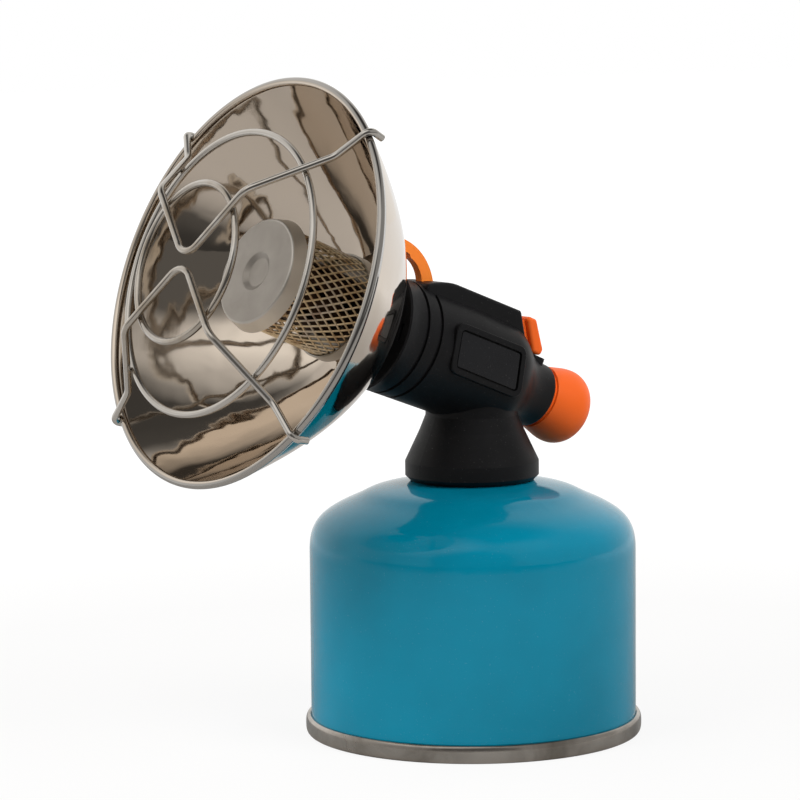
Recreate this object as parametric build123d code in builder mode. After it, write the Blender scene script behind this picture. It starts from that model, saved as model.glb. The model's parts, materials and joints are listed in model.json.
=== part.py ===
"""Portable gas heater: a piezo-lit radiant head screwed onto a valved gas canister.

Millimetres, +Z up. The origin is the centre of the canister's foot. The reflector faces -Y.
The head is laid out on two axes: the burner axis, which carries the valve, the jet, the burner
and the knob, and the reflector axis, which droops a little below it.
"""

from build123d import *
import os
from math import atan, cos, pi, radians, sin, sqrt, tan

os.makedirs("parts", exist_ok=True)

# ---------------------------------------------------------------- clearances
face_gap = 0.3  # between faces of pieces that move apart
fit_gap = 0.15  # between pieces clamped or slid into one another
shaft_gap = 0.05  # radial, around spindle, plunger ends and screws
thread_gap = 0.1  # radial, between the canister's thread and the valve's socket
cut_past = 2.0  # how far a cut runs past the wall it goes through

# ---------------------------------------------------------------- canister
canister_radius = 53.7
canister_sheet = 0.6
rim_overhang = 1.8  # how far the rolled rim stands out from the body
rim_height = 5.9
rim_round = 0.9
rim_width = 2.6
rim_seat = 3.0  # height inside the rim where the foot dome starts
seam_drop = 1.0  # how far the body's edge reaches down into the rim
foot_dome_rise = 9.0
shoulder_z = 60.5  # top of the straight wall
knee_inset = 3.3  # how far in from the wall the shoulder's stations lie
knee_z = 71.0
knee_slope = 41  # degrees that the surface leans in
dome_inset = 15.2
dome_z = 78.0
dome_slope = 66
dome_edge_outset = 0.5  # from the curl's centre
dome_edge_drop = 1.0
dome_edge_slope = 81
curl_radius = 15.4  # centre of the curl that carries the valve cup
curl_tube = 1.35
curl_z = 85.0
cup_sheet = 0.5
cup_skirt = 2.3  # how far the cup's skirt hangs down over the curl
cup_well_z = 81.5
thread_radius = 5.55  # 7/16 inch thread of a screw-on gas canister
boss_top_z = 95.0
boss_mouth = 2.0
stem_radius = 1.5
stem_flange_radius = 2.5
stem_flange_z = 91.0
stem_flange_height = 1.5
stem_top_z = 94.4
valve_housing_length = 20.0
valve_housing_floor = 2.0
valve_housing_bore = 2.8
valve_housing_inlet = 0.8
gasket_height = 0.6

# ---------------------------------------------------------------- head layout
burner_tilt = 23.1  # degrees above the horizon
axis_rise = 18.8  # from the web that carries the valve to where burner and canister axes cross
reflector_droop = 3.2  # degrees below the burner axis
droop_pivot = 11.0  # distance along the burner axis where the two axes cross

# ---------------------------------------------------------------- housing
barrel_radius = 19.0
barrel_bore = 16.7
barrel_shoulder_s = -4.0  # where the barrel starts to narrow towards the knob
barrel_waist = (-17.0, 13.3)
barrel_waist_bore = (-17.0, 11.0)
barrel_end_s = -28.7
barrel_end_radius = 10.8
barrel_end_round = 0.8
barrel_end_wall = 3.0
barrel_end_bore = 8.6
overlap = 14.0  # how far each half of the bent barrel runs on before it is trimmed
front_face_t = 33.9  # front face, along the reflector axis
front_lip_radius = 21.0
front_lip_edge = 0.5
front_flare_t = 26.5
front_wall = 2.2
front_bore = 17.9
front_boss_radius = 15.4
groove_positions = (19.2, 24.9)
groove_width = 1.3
groove_depth = 0.9
air_slots = 6
air_slot_radius = 16.8
air_slot_length = 6.0
air_slot_width = 1.6
collar_bottom_radius = 20.4
collar_bottom_z = 83.6
collar_chamfer = 1.6
collar_radius = 22.0
collar_straight_z = 89.8
collar_cone = (17.1, 100.2)
collar_neck_radius = 15.2
collar_neck_z = 105.0
collar_top_z = 112.0
collar_bore = 19.6
collar_bore_z = 88.6
collar_neck_bore = 12.8
collar_neck_bore_z = 104.0
web_z = 98.5
web_height = 3.0

block_half_width = 9.8
block_rear_top = (-5.4, 22.3)
block_rear_low = (-12.9, 11.3)
block_front_top = (22.5, 21.3)
block_slope = (30.6, 19.2)
block_nose = (34.6, 17.2)
block_floor_h = 6.0
block_edge = 1.2
ledge_half_width = 7.2
ledge_top = 11.3
ledge_end_s = -23.4
ledge_corner = 1.6
ledge_root = 3.0  # how far the ledge runs on into the block

badge_corners = ((22.8, 6.2), (-2.4, 7.1), (-5.0, -4.4), (20.8, -5.0))
badge_round = 0.8
badge_sheet = 0.8
badge_face_x = 19.2
badge_groove = 0.6
badge_pad_margin = 2.6
badge_pad_x = 19.6
badge_pad_depth = 4.5
badge_pad_edge = 0.4

screw_radius = 1.45
screw_head_radius = 2.7
screw_head_height = 1.9
screw_recess = 0.25  # clearance around a head
screw_boss_radius = 3.5
screw_length = 14.0
screw_seat_x = 7.5
screw_outside_x = 26.0
collar_screw_y = 13.2
collar_screw_z = 91.1
collar_boss_reach = 12.4
barrel_screw = (20.0, -12.4)
barrel_boss_reach = 10.0

# ---------------------------------------------------------------- valve train
valve_radius = 6.6
valve_front_s = 15.0
valve_rear_s = -19.0
inlet_radius = 9.0
inlet_flange_radius = 11.0
inlet_flange_height = 1.5
inlet_neck_radius = 6.4
inlet_bottom_z = 84.8
gas_way = 1.1
seal_section = 0.9
seal_radius = 3.6
pin_radius = 0.9
pin_flange_radius = 2.2
pin_flange_height = 0.6
pin_top_z = 103.0
spindle_radius = 2.5
spindle_tip_s = -2.0
spindle_tip_radius = 0.6
spindle_needle = 4.0
spindle_end_s = -43.0
spindle_flat = 1.7
spindle_flat_s = -31.0
valve_bore_s = -1.5
gland_thread_radius = 4.4
gland_thread_s = -14.0
gland_across = 5.6  # half the width across the flats
gland_hex_s = -23.5
gland_snout_radius = 4.1
gland_end_s = -28.0
jet_radius = 3.0
jet_rear_s = 9.0
jet_front_s = 16.5
jet_nose_radius = 1.3
jet_nose_s = 18.5
jet_bore = 0.5

knob_front_s = -29.1
knob_neck_radius = 9.8
knob_neck = 0.8
knob_lip_radius = 10.6
knob_swell = (-35.0, 11.9)
knob_round = 7.6
knob_radius = 12.65
knob_end_s = -47.3
knob_hub_radius = 5.0
knob_pocket_radius = 8.4
knob_pocket_end_s = -40.5
knob_bore_end_s = -43.3

# ---------------------------------------------------------------- burner
mixer_wall = 0.8
mixer_rear_s = 9.0
mixer_air_s = 23.0
mixer_air_radius = 2.4
mixer_air_holes = 4
base_s = 57.0
base_sheet = 0.8
base_neck_s = 50.5
base_lip = 3.2
base_lip_sheet = 0.6
mesh_radius = 16.8
mesh_sheet = 0.7
mesh_columns = 16
mesh_rows = 6
mesh_edge = 2.0  # solid band at each end
mesh_bar = 0.55  # half the width of a bar
inner_tube_radius = 10.5
inner_tube_sheet = 0.6
slot_columns = 8
slot_rows = 3
slot_width = 2.4
slot_length = 8.0
cap_s = 93.2
cap_face_radius = 17.35
cap_skirt = (88.4, 18.8)
cap_sheet = 0.6
cap_round = 0.9
dimple_radius = 6.4
dimple_slope = 1.8
dimple_depth = 1.2

# ---------------------------------------------------------------- reflector
reflector_radius = 66.7  # over the rolled bead
reflector_depth = 51.3  # of the whole parabola, rim to vertex
seat_height = 3.8  # of the boss that the bowl sits on, in front of the housing's face
reflector_sheet = 0.6
reflector_flat = 16.4
edge_inset = 0.5  # in from the bead's outside, where the sheet runs into the bead
bead_radius = 1.3
burner_hole_radius = 9.7
fixing_circle = 12.6
fixing_count = 4
fixing_start = 45.0
fixing_head_radius = 2.0
fixing_head_height = 1.5
fixing_shank_radius = 1.1
fixing_length = 6.0

# ---------------------------------------------------------------- guard
wire_radius = 1.15
guard_turn = 2.4  # degrees that the guard sits turned on the bead
guard_top_s = 23.2  # level of the wires over the middle, out from the rim
guard_knee_radius = 32.0
guard_foot_inset = 11.7  # in from the bead's outside, where the legs bend down to the hooks
guard_centre_bend = 7.0
guard_knee_bend = 8.0
guard_foot_bend = 7.0
hook_gap = 0.12
hook_rise = 76.1  # degrees, where the wire lands on the bead
hook_fall = -12.0  # degrees, where it leaves it again
hook_length = 5.9
ring_outer_inset = 21.1  # in from the bead's outside
ring_inner_half_width = 23.9
ring_inner_half_height = 25.5
ring_inner_shift = -2.0
leg_angle = 45.0

# ---------------------------------------------------------------- igniter
button_stroke = 3.6
button_half_width = 8.0
button_top = 22.2
button_rear_top = (-14.1, 22.2)
button_rear_belly = (-20.5, 13.9)
button_rear_low_s = -20.2
button_round = 1.2
neck_half_width = 6.2
neck_bottom = 12.2
neck_top = 20.5
neck_front_s = -1.0
pocket_end_s = 4.6
piezo_half_width = 4.4
piezo_bottom = 13.4
piezo_top = 20.2
piezo_rear_s = 5.2
piezo_front_s = 23.0
plunger_half = 2.2
plunger_rear_s = -5.0
plunger_front_s = 12.0
rib_positions = (8.0, 19.5)
rib_thickness = 1.5
rib_bottom = 10.2
rib_half_width = 12.7
insulator_offset = 12.6
insulator_radius = 1.9
insulator_rear_t = 28.0
insulator_front_t = 41.0
insulator_collar_radius = 2.6
insulator_collar = 1.2
electrode_radius = 0.75
electrode_rear_t = 27.5
electrode_bend_t = (42.2, 45.2)
electrode_reach = 20.6
electrode_tip_t = 51.5
electrode_bend = 1.5
lead_radius = 0.8
lead_path_points = (
    (0, 15.0, 11.3),
    (0, 15.0, 14.2),
    (-insulator_offset, 6.0, 20.5),
    (-insulator_offset, 0, 24.3),
)
lead_bend = 1.6

# ---------------------------------------------------------------- hanging loop
loop_thickness = 3.2
loop_foot_h = 15.9
loop_rear = (26.0, 18.5)
loop_shoulder = (33.2, 26.3)
loop_top = (43.0, 29.0)
loop_front = (48.0, 24.8)
loop_front_low = (45.4, 19.8)
loop_eye_rear = (30.8, 17.0)
loop_eye_shoulder = (33.0, 21.2)
loop_eye_top = (38.5, 24.3)
loop_eye_peak = (41.1, 25.3)
loop_eye_front = (42.2, 24.2)

# ================================================================ frames
axis_height = web_z + web_height + axis_rise
tilt = radians(burner_tilt)
droop = radians(burner_tilt - reflector_droop)
burner_dir = Vector(0, -cos(tilt), sin(tilt))
head_origin = Vector(0, 0, axis_height)
reflector_dir = Vector(0, -cos(droop), sin(droop))
reflector_origin = head_origin + burner_dir * droop_pivot

# side planes: first coordinate along the axis, second up and away from it, normal -X
burner_side = Plane(origin=head_origin, x_dir=burner_dir, z_dir=(-1, 0, 0))
reflector_side = Plane(origin=reflector_origin, x_dir=reflector_dir, z_dir=(-1, 0, 0))
# cross planes: first coordinate +X, second up, normal along the axis
burner_cross = Plane(origin=head_origin, x_dir=(1, 0, 0), z_dir=burner_dir)
reflector_cross = Plane(origin=reflector_origin, x_dir=(1, 0, 0), z_dir=reflector_dir)
barrel_joint = Plane(origin=reflector_origin, x_dir=(1, 0, 0), z_dir=burner_dir + reflector_dir)
canister_side = Plane.XZ
burner_axis = Axis(head_origin, burner_dir)
reflector_axis = Axis(reflector_origin, reflector_dir)


def turned(plane, axis, angle):
    """The plane turned by an angle in degrees about an axis through its origin."""
    return Plane(
        origin=plane.origin,
        x_dir=plane.x_dir.rotate(axis, angle),
        z_dir=plane.z_dir.rotate(axis, angle),
    )


def finish(name, part):
    """Label a piece and write its file."""
    part.label = name
    export_step(part, f"parts/{name}.step")


# ================================================================ canister
rim_radius = canister_radius + rim_overhang
shoulder_stations = (
    (canister_radius, shoulder_z, 0),
    (canister_radius - knee_inset, knee_z, knee_slope),
    (canister_radius - dome_inset, dome_z, dome_slope),
    (curl_radius + dome_edge_outset, curl_z - dome_edge_drop, dome_edge_slope),
)
shell_foot_z = rim_height - seam_drop
outside = [(r, z) for r, z, slope in shoulder_stations]
inside = [
    (r - canister_sheet * cos(radians(slope)), z - canister_sheet * sin(radians(slope)))
    for r, z, slope in shoulder_stations
]
edge_slope = radians(dome_edge_slope)
with BuildPart() as canister_shell:
    with BuildSketch(canister_side):
        with BuildLine():
            Line((canister_radius, shell_foot_z), outside[0])
            Spline(*outside, tangents=[(0, 1), (-sin(edge_slope), cos(edge_slope))])
            Line(outside[-1], inside[-1])
            Spline(*inside[::-1], tangents=[(sin(edge_slope), -cos(edge_slope)), (0, -1)])
            Polyline(
                inside[0],
                (canister_radius - canister_sheet, shell_foot_z),
                (canister_radius, shell_foot_z),
            )
        make_face()
    revolve(axis=Axis.Z)
    with BuildSketch(canister_side):
        with Locations((curl_radius, curl_z)):
            Circle(curl_tube)
    revolve(axis=Axis.Z)
finish("canister_shell", canister_shell.part)

seam_radius = canister_radius + fit_gap
rim_inner = rim_radius - rim_width
with BuildPart() as canister_base:
    with BuildSketch(canister_side):
        with BuildLine():
            Line((0, foot_dome_rise + canister_sheet), (0, foot_dome_rise))
            TangentArc((0, foot_dome_rise), (rim_inner, rim_seat), tangent=(1, 0))
            Polyline(
                (rim_inner, rim_seat),
                (rim_inner, rim_round),
                (rim_inner + rim_round, 0),
                (rim_radius - rim_round, 0),
                (rim_radius, rim_round),
                (rim_radius, rim_height - rim_round),
                (rim_radius - rim_round, rim_height),
                (seam_radius, rim_height),
                (seam_radius, shell_foot_z - fit_gap),
                (rim_inner, shell_foot_z - fit_gap),
            )
            TangentArc(
                (0, foot_dome_rise + canister_sheet),
                (rim_inner, shell_foot_z - fit_gap),
                tangent=(1, 0),
            )
        make_face()
    revolve(axis=Axis.Z)
finish("canister_base", canister_base.part)

cup_outer = curl_radius + curl_tube + fit_gap + cup_sheet
cup_inner = curl_radius - curl_tube - fit_gap - cup_sheet
cup_top_z = curl_z + curl_tube + fit_gap + cup_sheet
with BuildPart() as canister_valve_cup:
    with BuildSketch(canister_side):
        with BuildLine():
            Polyline(
                (cup_outer, cup_top_z - cup_skirt),
                (cup_outer, cup_top_z),
                (cup_inner, cup_top_z),
                (cup_inner, cup_well_z),
                (thread_radius, cup_well_z),
                (thread_radius, boss_top_z),
                (boss_mouth, boss_top_z),
            )
            offset(amount=cup_sheet, side=Side.LEFT)
        make_face()
    revolve(axis=Axis.Z)
finish("canister_valve_cup", canister_valve_cup.part)

gasket_top_z = boss_top_z - cup_sheet
valve_housing_top_z = gasket_top_z - gasket_height
valve_housing_radius = thread_radius - cup_sheet - fit_gap
valve_housing_z = valve_housing_top_z - valve_housing_length
with BuildPart() as canister_valve_housing:
    with BuildSketch(Plane.XY.offset(valve_housing_z)):
        Circle(valve_housing_radius)
        Circle(valve_housing_inlet, mode=Mode.SUBTRACT)
    extrude(amount=valve_housing_floor)
    with BuildSketch(Plane.XY.offset(valve_housing_z + valve_housing_floor)):
        Circle(valve_housing_radius)
        Circle(valve_housing_bore, mode=Mode.SUBTRACT)
    extrude(amount=valve_housing_length - valve_housing_floor)
finish("canister_valve_housing", canister_valve_housing.part)

with BuildPart() as canister_valve_gasket:
    with BuildSketch(Plane.XY.offset(valve_housing_top_z)):
        Circle(valve_housing_radius)
        Circle(stem_radius + shaft_gap, mode=Mode.SUBTRACT)
    extrude(amount=gasket_height)
finish("canister_valve_gasket", canister_valve_gasket.part)

with BuildPart() as canister_valve_stem:
    with BuildSketch(Plane.XY.offset(stem_flange_z)):
        Circle(stem_flange_radius)
    extrude(amount=stem_flange_height)
    with BuildSketch(Plane.XY.offset(stem_flange_z)):
        Circle(stem_radius)
    extrude(amount=stem_top_z - stem_flange_z)
finish("canister_valve_stem", canister_valve_stem.part)

# ================================================================ head housing
with BuildPart() as barrel_rear:
    with BuildSketch(burner_side):
        with BuildLine():
            Polyline(
                (barrel_end_s, 0),
                (droop_pivot + overlap, 0),
                (droop_pivot + overlap, barrel_radius),
                (barrel_shoulder_s, barrel_radius),
            )
            Spline(
                (barrel_shoulder_s, barrel_radius),
                barrel_waist,
                (barrel_end_s + barrel_end_round, barrel_end_radius),
                tangents=[(-1, 0), (-1, 0)],
            )
            TangentArc(
                (barrel_end_s + barrel_end_round, barrel_end_radius),
                (barrel_end_s, barrel_end_radius - barrel_end_round),
                tangent=(-1, 0),
            )
            Line((barrel_end_s, barrel_end_radius - barrel_end_round), (barrel_end_s, 0))
        make_face()
    revolve(axis=burner_axis)
    split(bisect_by=barrel_joint, keep=Keep.BOTTOM)

front_outline = [(-overlap, 0), (-overlap, barrel_radius)]
for groove in groove_positions:
    front_outline += [
        (groove - groove_width / 2, barrel_radius),
        (groove - groove_width / 2, barrel_radius - groove_depth),
        (groove + groove_width / 2, barrel_radius - groove_depth),
        (groove + groove_width / 2, barrel_radius),
    ]
front_outline.append((front_flare_t, barrel_radius))
with BuildPart() as barrel_front:
    with BuildSketch(reflector_side):
        with BuildLine():
            Polyline(*front_outline)
            TangentArc(
                (front_flare_t, barrel_radius),
                (front_face_t - front_lip_edge, front_lip_radius),
                tangent=(1, 0),
            )
            Polyline(
                (front_face_t - front_lip_edge, front_lip_radius),
                (front_face_t, front_lip_radius - front_lip_edge),
                (front_face_t, 0),
                (-overlap, 0),
            )
        make_face()
    revolve(axis=reflector_axis)
    split(bisect_by=barrel_joint, keep=Keep.TOP)

with BuildPart() as hollow_rear:
    with BuildSketch(burner_side):
        with BuildLine():
            Polyline(
                (barrel_end_s + barrel_end_wall, 0),
                (droop_pivot + overlap, 0),
                (droop_pivot + overlap, barrel_bore),
                (barrel_shoulder_s, barrel_bore),
                barrel_waist_bore,
                (barrel_end_s + barrel_end_wall, barrel_end_bore),
                close=True,
            )
        make_face()
    revolve(axis=burner_axis)
    split(bisect_by=barrel_joint, keep=Keep.BOTTOM)

with BuildPart() as hollow_front:
    with BuildSketch(reflector_side):
        with BuildLine():
            Polyline(
                (-overlap, 0),
                (front_face_t - front_wall, 0),
                (front_face_t - front_wall, front_bore),
                (front_flare_t, barrel_bore),
                (-overlap, barrel_bore),
                close=True,
            )
        make_face()
    revolve(axis=reflector_axis)
    split(bisect_by=barrel_joint, keep=Keep.TOP)

with BuildPart() as igniter_block:
    with BuildSketch(burner_side):
        with BuildLine():
            Polyline(
                (block_nose[0], block_floor_h),
                (block_rear_low[0], block_floor_h),
                block_rear_low,
                block_rear_top,
                block_front_top,
            )
            Spline(block_front_top, block_slope, block_nose, tangents=[(1, -0.04), (1, -0.6)])
            Line(block_nose, (block_nose[0], block_floor_h))
        make_face()
    extrude(amount=block_half_width, both=True)
    fillet(igniter_block.edges(), radius=block_edge)

with BuildPart() as button_ledge:
    with BuildSketch(burner_side):
        with BuildLine():
            Polyline(
                (ledge_end_s, block_floor_h),
                (block_rear_low[0] + ledge_root, block_floor_h),
                (block_rear_low[0] + ledge_root, ledge_top),
                (ledge_end_s, ledge_top),
                close=True,
            )
        make_face()
    extrude(amount=ledge_half_width, both=True)
    ledge_end = button_ledge.faces().sort_by(burner_axis)[0]
    fillet(ledge_end.edges().filter_by(Axis(head_origin, burner_side.y_dir)), radius=ledge_corner)

with BuildSketch(burner_side) as badge_outline:
    with BuildLine():
        Polyline(*badge_corners, close=True)
    make_face()
    fillet(badge_outline.vertices(), radius=badge_round)

with BuildPart() as badge_pad:
    with BuildSketch(burner_side.offset(-badge_pad_x)):
        add(badge_outline.sketch_local)
        offset(amount=badge_pad_margin)
    extrude(amount=badge_pad_depth)
    fillet(badge_pad.faces().sort_by(Axis.X)[-1].edges(), radius=badge_pad_edge)

with BuildSketch(burner_side) as loop_outline:
    with BuildLine():
        ThreePointArc(loop_rear, loop_shoulder, loop_top)
        ThreePointArc(loop_top, loop_front, loop_front_low)
        Polyline(
            loop_front_low,
            (loop_front_low[0], loop_foot_h),
            (loop_eye_front[0], loop_foot_h),
            loop_eye_front,
        )
        ThreePointArc(loop_eye_front, loop_eye_peak, loop_eye_top)
        ThreePointArc(loop_eye_top, loop_eye_shoulder, loop_eye_rear)
        Polyline(
            loop_eye_rear,
            (loop_eye_rear[0], loop_foot_h),
            (loop_rear[0], loop_foot_h),
            loop_rear,
        )
    make_face()

boss_front_t = front_face_t + seat_height
vertex_t = boss_front_t - reflector_depth * (reflector_flat / reflector_radius) ** 2
reflector_rim_t = vertex_t + reflector_depth
mixer_radius = valve_radius + fit_gap + mixer_wall
fixing_face_s = droop_pivot + (boss_front_t + reflector_sheet) / cos(radians(reflector_droop))
fixing_plane = Plane(
    origin=head_origin + burner_dir * fixing_face_s,
    x_dir=(1, 0, 0),
    z_dir=reflector_dir,
)
screw_spots = (
    (Plane(origin=(0, 0, 0), x_dir=(0, -1, 0), z_dir=(-1, 0, 0)), (collar_screw_y, collar_screw_z)),
    (Plane(origin=(0, 0, 0), x_dir=(0, -1, 0), z_dir=(-1, 0, 0)), (-collar_screw_y, collar_screw_z)),
    (burner_side, barrel_screw),
)

with BuildPart() as housing:
    add(barrel_rear.part)
    add(barrel_front.part)
    with BuildSketch(canister_side):
        with BuildLine():
            Polyline(
                (0, collar_bottom_z),
                (collar_bottom_radius, collar_bottom_z),
                (collar_radius, collar_bottom_z + collar_chamfer),
                (collar_radius, collar_straight_z),
                collar_cone,
                (collar_neck_radius, collar_neck_z),
                (collar_neck_radius, collar_top_z),
                (0, collar_top_z),
                close=True,
            )
        make_face()
    revolve(axis=Axis.Z)
    add(igniter_block.part)
    add(button_ledge.part)
    add(badge_pad.part)
    with BuildSketch(reflector_cross.offset(front_face_t)):
        Circle(front_boss_radius)
    extrude(amount=boss_front_t - front_face_t)

    # inside of the barrel and the collar
    add(hollow_rear.part, mode=Mode.SUBTRACT)
    add(hollow_front.part, mode=Mode.SUBTRACT)
    with BuildSketch(canister_side):
        with BuildLine():
            Polyline(
                (0, collar_bottom_z),
                (collar_bore, collar_bottom_z),
                (collar_bore, collar_bore_z),
                (collar_neck_bore, collar_neck_bore_z),
                (collar_neck_bore, collar_top_z),
                (0, collar_top_z),
                close=True,
            )
        make_face()
    revolve(axis=Axis.Z, mode=Mode.SUBTRACT)

    # web that carries the valve, ribs under the igniter, screw bosses
    with BuildSketch(Plane.XY.offset(web_z)):
        Circle(collar_neck_radius)
    extrude(amount=web_height)
    for rib in rib_positions:
        with BuildSketch(burner_cross.offset(rib)):
            with Locations((0, (rib_bottom + piezo_bottom) / 2)):
                Rectangle(2 * rib_half_width, piezo_bottom - rib_bottom)
        extrude(amount=rib_thickness)
    for y in (-collar_screw_y, collar_screw_y):
        with BuildSketch(Plane.YZ):
            with Locations((y, collar_screw_z)):
                Circle(screw_boss_radius)
        extrude(amount=collar_boss_reach, both=True)
    with BuildSketch(burner_side):
        with Locations(barrel_screw):
            Circle(screw_boss_radius)
    extrude(amount=barrel_boss_reach, both=True)

    # openings for valve, gland, mixer tube, reflector screws, electrode and air
    with BuildSketch(Plane.XY.offset(web_z)):
        Circle(inlet_radius + fit_gap)
    extrude(amount=web_height, mode=Mode.SUBTRACT)
    with BuildSketch(burner_cross.offset(barrel_end_s)):
        Circle(gland_snout_radius + fit_gap)
    extrude(amount=barrel_end_wall, mode=Mode.SUBTRACT)
    with BuildSketch(burner_cross.offset(base_neck_s)):
        Circle(mixer_radius + fit_gap)
    extrude(amount=valve_front_s - base_neck_s, mode=Mode.SUBTRACT)
    with BuildSketch(fixing_plane):
        with PolarLocations(fixing_circle, fixing_count, start_angle=fixing_start):
            Circle(fixing_shank_radius + shaft_gap)
    extrude(amount=-fixing_length, mode=Mode.SUBTRACT)
    with BuildSketch(reflector_cross.offset(boss_front_t)):
        with Locations((-insulator_offset, 0)):
            Circle(insulator_radius + fit_gap)
    extrude(amount=-(boss_front_t - insulator_rear_t), mode=Mode.SUBTRACT)
    with BuildSketch(reflector_cross.offset(front_face_t)):
        with PolarLocations(air_slot_radius, air_slots):
            SlotOverall(air_slot_length, air_slot_width, rotation=90)
    extrude(amount=-front_wall, mode=Mode.SUBTRACT)

    # recess for the button's pad, pockets for its neck, the igniter, the badge plate and the loop
    with BuildSketch(burner_side):
        with BuildLine():
            Polyline(
                (ledge_end_s, ledge_top),
                block_rear_low,
                block_rear_top,
                (ledge_end_s, block_rear_top[1]),
                close=True,
            )
        make_face()
    extrude(amount=button_half_width + face_gap, both=True, mode=Mode.SUBTRACT)
    with BuildSketch(burner_side):
        with BuildLine():
            Polyline(
                (ledge_end_s, neck_bottom - face_gap),
                (pocket_end_s, neck_bottom - face_gap),
                (pocket_end_s, neck_top + face_gap),
                (ledge_end_s, neck_top + face_gap),
                close=True,
            )
        make_face()
    extrude(amount=neck_half_width + face_gap, both=True, mode=Mode.SUBTRACT)
    with BuildSketch(burner_side):
        with BuildLine():
            Polyline(
                (pocket_end_s, piezo_bottom),
                (piezo_front_s + fit_gap, piezo_bottom),
                (piezo_front_s + fit_gap, piezo_top + fit_gap),
                (pocket_end_s, piezo_top + fit_gap),
                close=True,
            )
        make_face()
    extrude(amount=piezo_half_width + fit_gap, both=True, mode=Mode.SUBTRACT)
    with BuildSketch(burner_side.offset(-badge_pad_x)):
        add(badge_outline.sketch_local)
        offset(amount=badge_groove)
    extrude(amount=badge_pad_x - badge_face_x + badge_sheet, mode=Mode.SUBTRACT)
    with BuildSketch(burner_side):
        add(loop_outline.sketch_local)
    extrude(amount=loop_thickness / 2, both=True, mode=Mode.SUBTRACT)

    # screw holes: through from -X, blind in the other half
    for plane, spot in screw_spots:
        with BuildSketch(plane.offset(screw_seat_x)):
            with Locations(spot):
                Circle(screw_head_radius + screw_recess)
        extrude(amount=screw_outside_x - screw_seat_x, mode=Mode.SUBTRACT)
        with BuildSketch(plane.offset(screw_seat_x)):
            with Locations(spot):
                Circle(screw_radius + shaft_gap)
        extrude(amount=-screw_length, mode=Mode.SUBTRACT)

with BuildPart() as housing_right:
    add(housing.part)
    split(bisect_by=Plane.YZ, keep=Keep.TOP)
finish("housing_right", housing_right.part)

with BuildPart() as housing_left:
    add(housing.part)
    split(bisect_by=Plane.YZ, keep=Keep.BOTTOM)
finish("housing_left", housing_left.part)

with BuildPart() as housing_screws:
    for plane, spot in screw_spots:
        with BuildSketch(plane.offset(screw_seat_x)):
            with Locations(spot):
                Circle(screw_head_radius)
        extrude(amount=screw_head_height)
        with BuildSketch(plane.offset(screw_seat_x)):
            with Locations(spot):
                Circle(screw_radius)
        extrude(amount=-screw_length)
finish("housing_screws", housing_screws.part)

with BuildPart() as badge_plate:
    with BuildSketch(burner_side.offset(-badge_face_x)):
        add(badge_outline.sketch_local)
    extrude(amount=badge_sheet)
finish("badge_plate", badge_plate.part)

with BuildPart() as hang_loop:
    with BuildSketch(burner_side):
        add(loop_outline.sketch_local)
    extrude(amount=loop_thickness / 2, both=True)
finish("hang_loop", hang_loop.part)

# ================================================================ valve train
seal_z = boss_top_z + face_gap + seal_section
socket_top_z = seal_z + seal_section
with BuildPart() as valve_body:
    with BuildSketch(Plane.XY.offset(inlet_bottom_z)):
        Circle(inlet_radius)
    extrude(amount=web_z + web_height - inlet_bottom_z)
    with BuildSketch(Plane.XY.offset(web_z + web_height)):
        Circle(inlet_flange_radius)
    extrude(amount=inlet_flange_height)
    with BuildSketch(Plane.XY.offset(web_z + web_height)):
        Circle(inlet_neck_radius)
    extrude(amount=axis_height - web_z - web_height)
    with BuildSketch(burner_cross.offset(valve_rear_s)):
        Circle(valve_radius)
    extrude(amount=valve_front_s - valve_rear_s)
    with BuildSketch(Plane.XY.offset(inlet_bottom_z)):
        Circle(thread_radius + thread_gap)
    extrude(amount=socket_top_z - inlet_bottom_z, mode=Mode.SUBTRACT)
    with BuildSketch(Plane.XY.offset(socket_top_z)):
        Circle(gas_way)
    extrude(amount=axis_height - socket_top_z, mode=Mode.SUBTRACT)
    with BuildSketch(burner_side):
        with BuildLine():
            Polyline(
                (valve_rear_s, 0),
                (valve_rear_s, gland_thread_radius + shaft_gap),
                (gland_thread_s, gland_thread_radius + shaft_gap),
                (gland_thread_s, spindle_radius + shaft_gap),
                (valve_bore_s, spindle_radius + shaft_gap),
                (valve_bore_s, gas_way),
                (jet_rear_s, gas_way),
                (jet_rear_s, jet_radius + shaft_gap),
                (valve_front_s, jet_radius + shaft_gap),
                (valve_front_s, 0),
                close=True,
            )
        make_face()
    revolve(axis=burner_axis, mode=Mode.SUBTRACT)
finish("valve_body", valve_body.part)

with BuildPart(Plane.XY.offset(seal_z)) as inlet_seal:
    Torus(seal_radius, seal_section)
finish("inlet_seal", inlet_seal.part)

with BuildPart() as inlet_pin:
    with BuildSketch(Plane.XY.offset(stem_top_z + face_gap)):
        Circle(pin_radius)
    extrude(amount=pin_top_z - stem_top_z - face_gap)
    with BuildSketch(Plane.XY.offset(socket_top_z - pin_flange_height)):
        Circle(pin_flange_radius)
    extrude(amount=pin_flange_height)
finish("inlet_pin", inlet_pin.part)

with BuildPart() as gland_nut:
    with BuildSketch(burner_cross.offset(gland_thread_s)):
        Circle(gland_thread_radius)
    extrude(amount=valve_rear_s - gland_thread_s)
    with BuildSketch(burner_cross.offset(valve_rear_s)):
        RegularPolygon(gland_across, 6, major_radius=False)
    extrude(amount=gland_hex_s - valve_rear_s)
    with BuildSketch(burner_cross.offset(gland_hex_s)):
        Circle(gland_snout_radius)
    extrude(amount=gland_end_s - gland_hex_s)
    with BuildSketch(burner_cross.offset(gland_thread_s)):
        Circle(spindle_radius + shaft_gap)
    extrude(amount=gland_end_s - gland_thread_s, mode=Mode.SUBTRACT)
finish("gland_nut", gland_nut.part)

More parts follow.
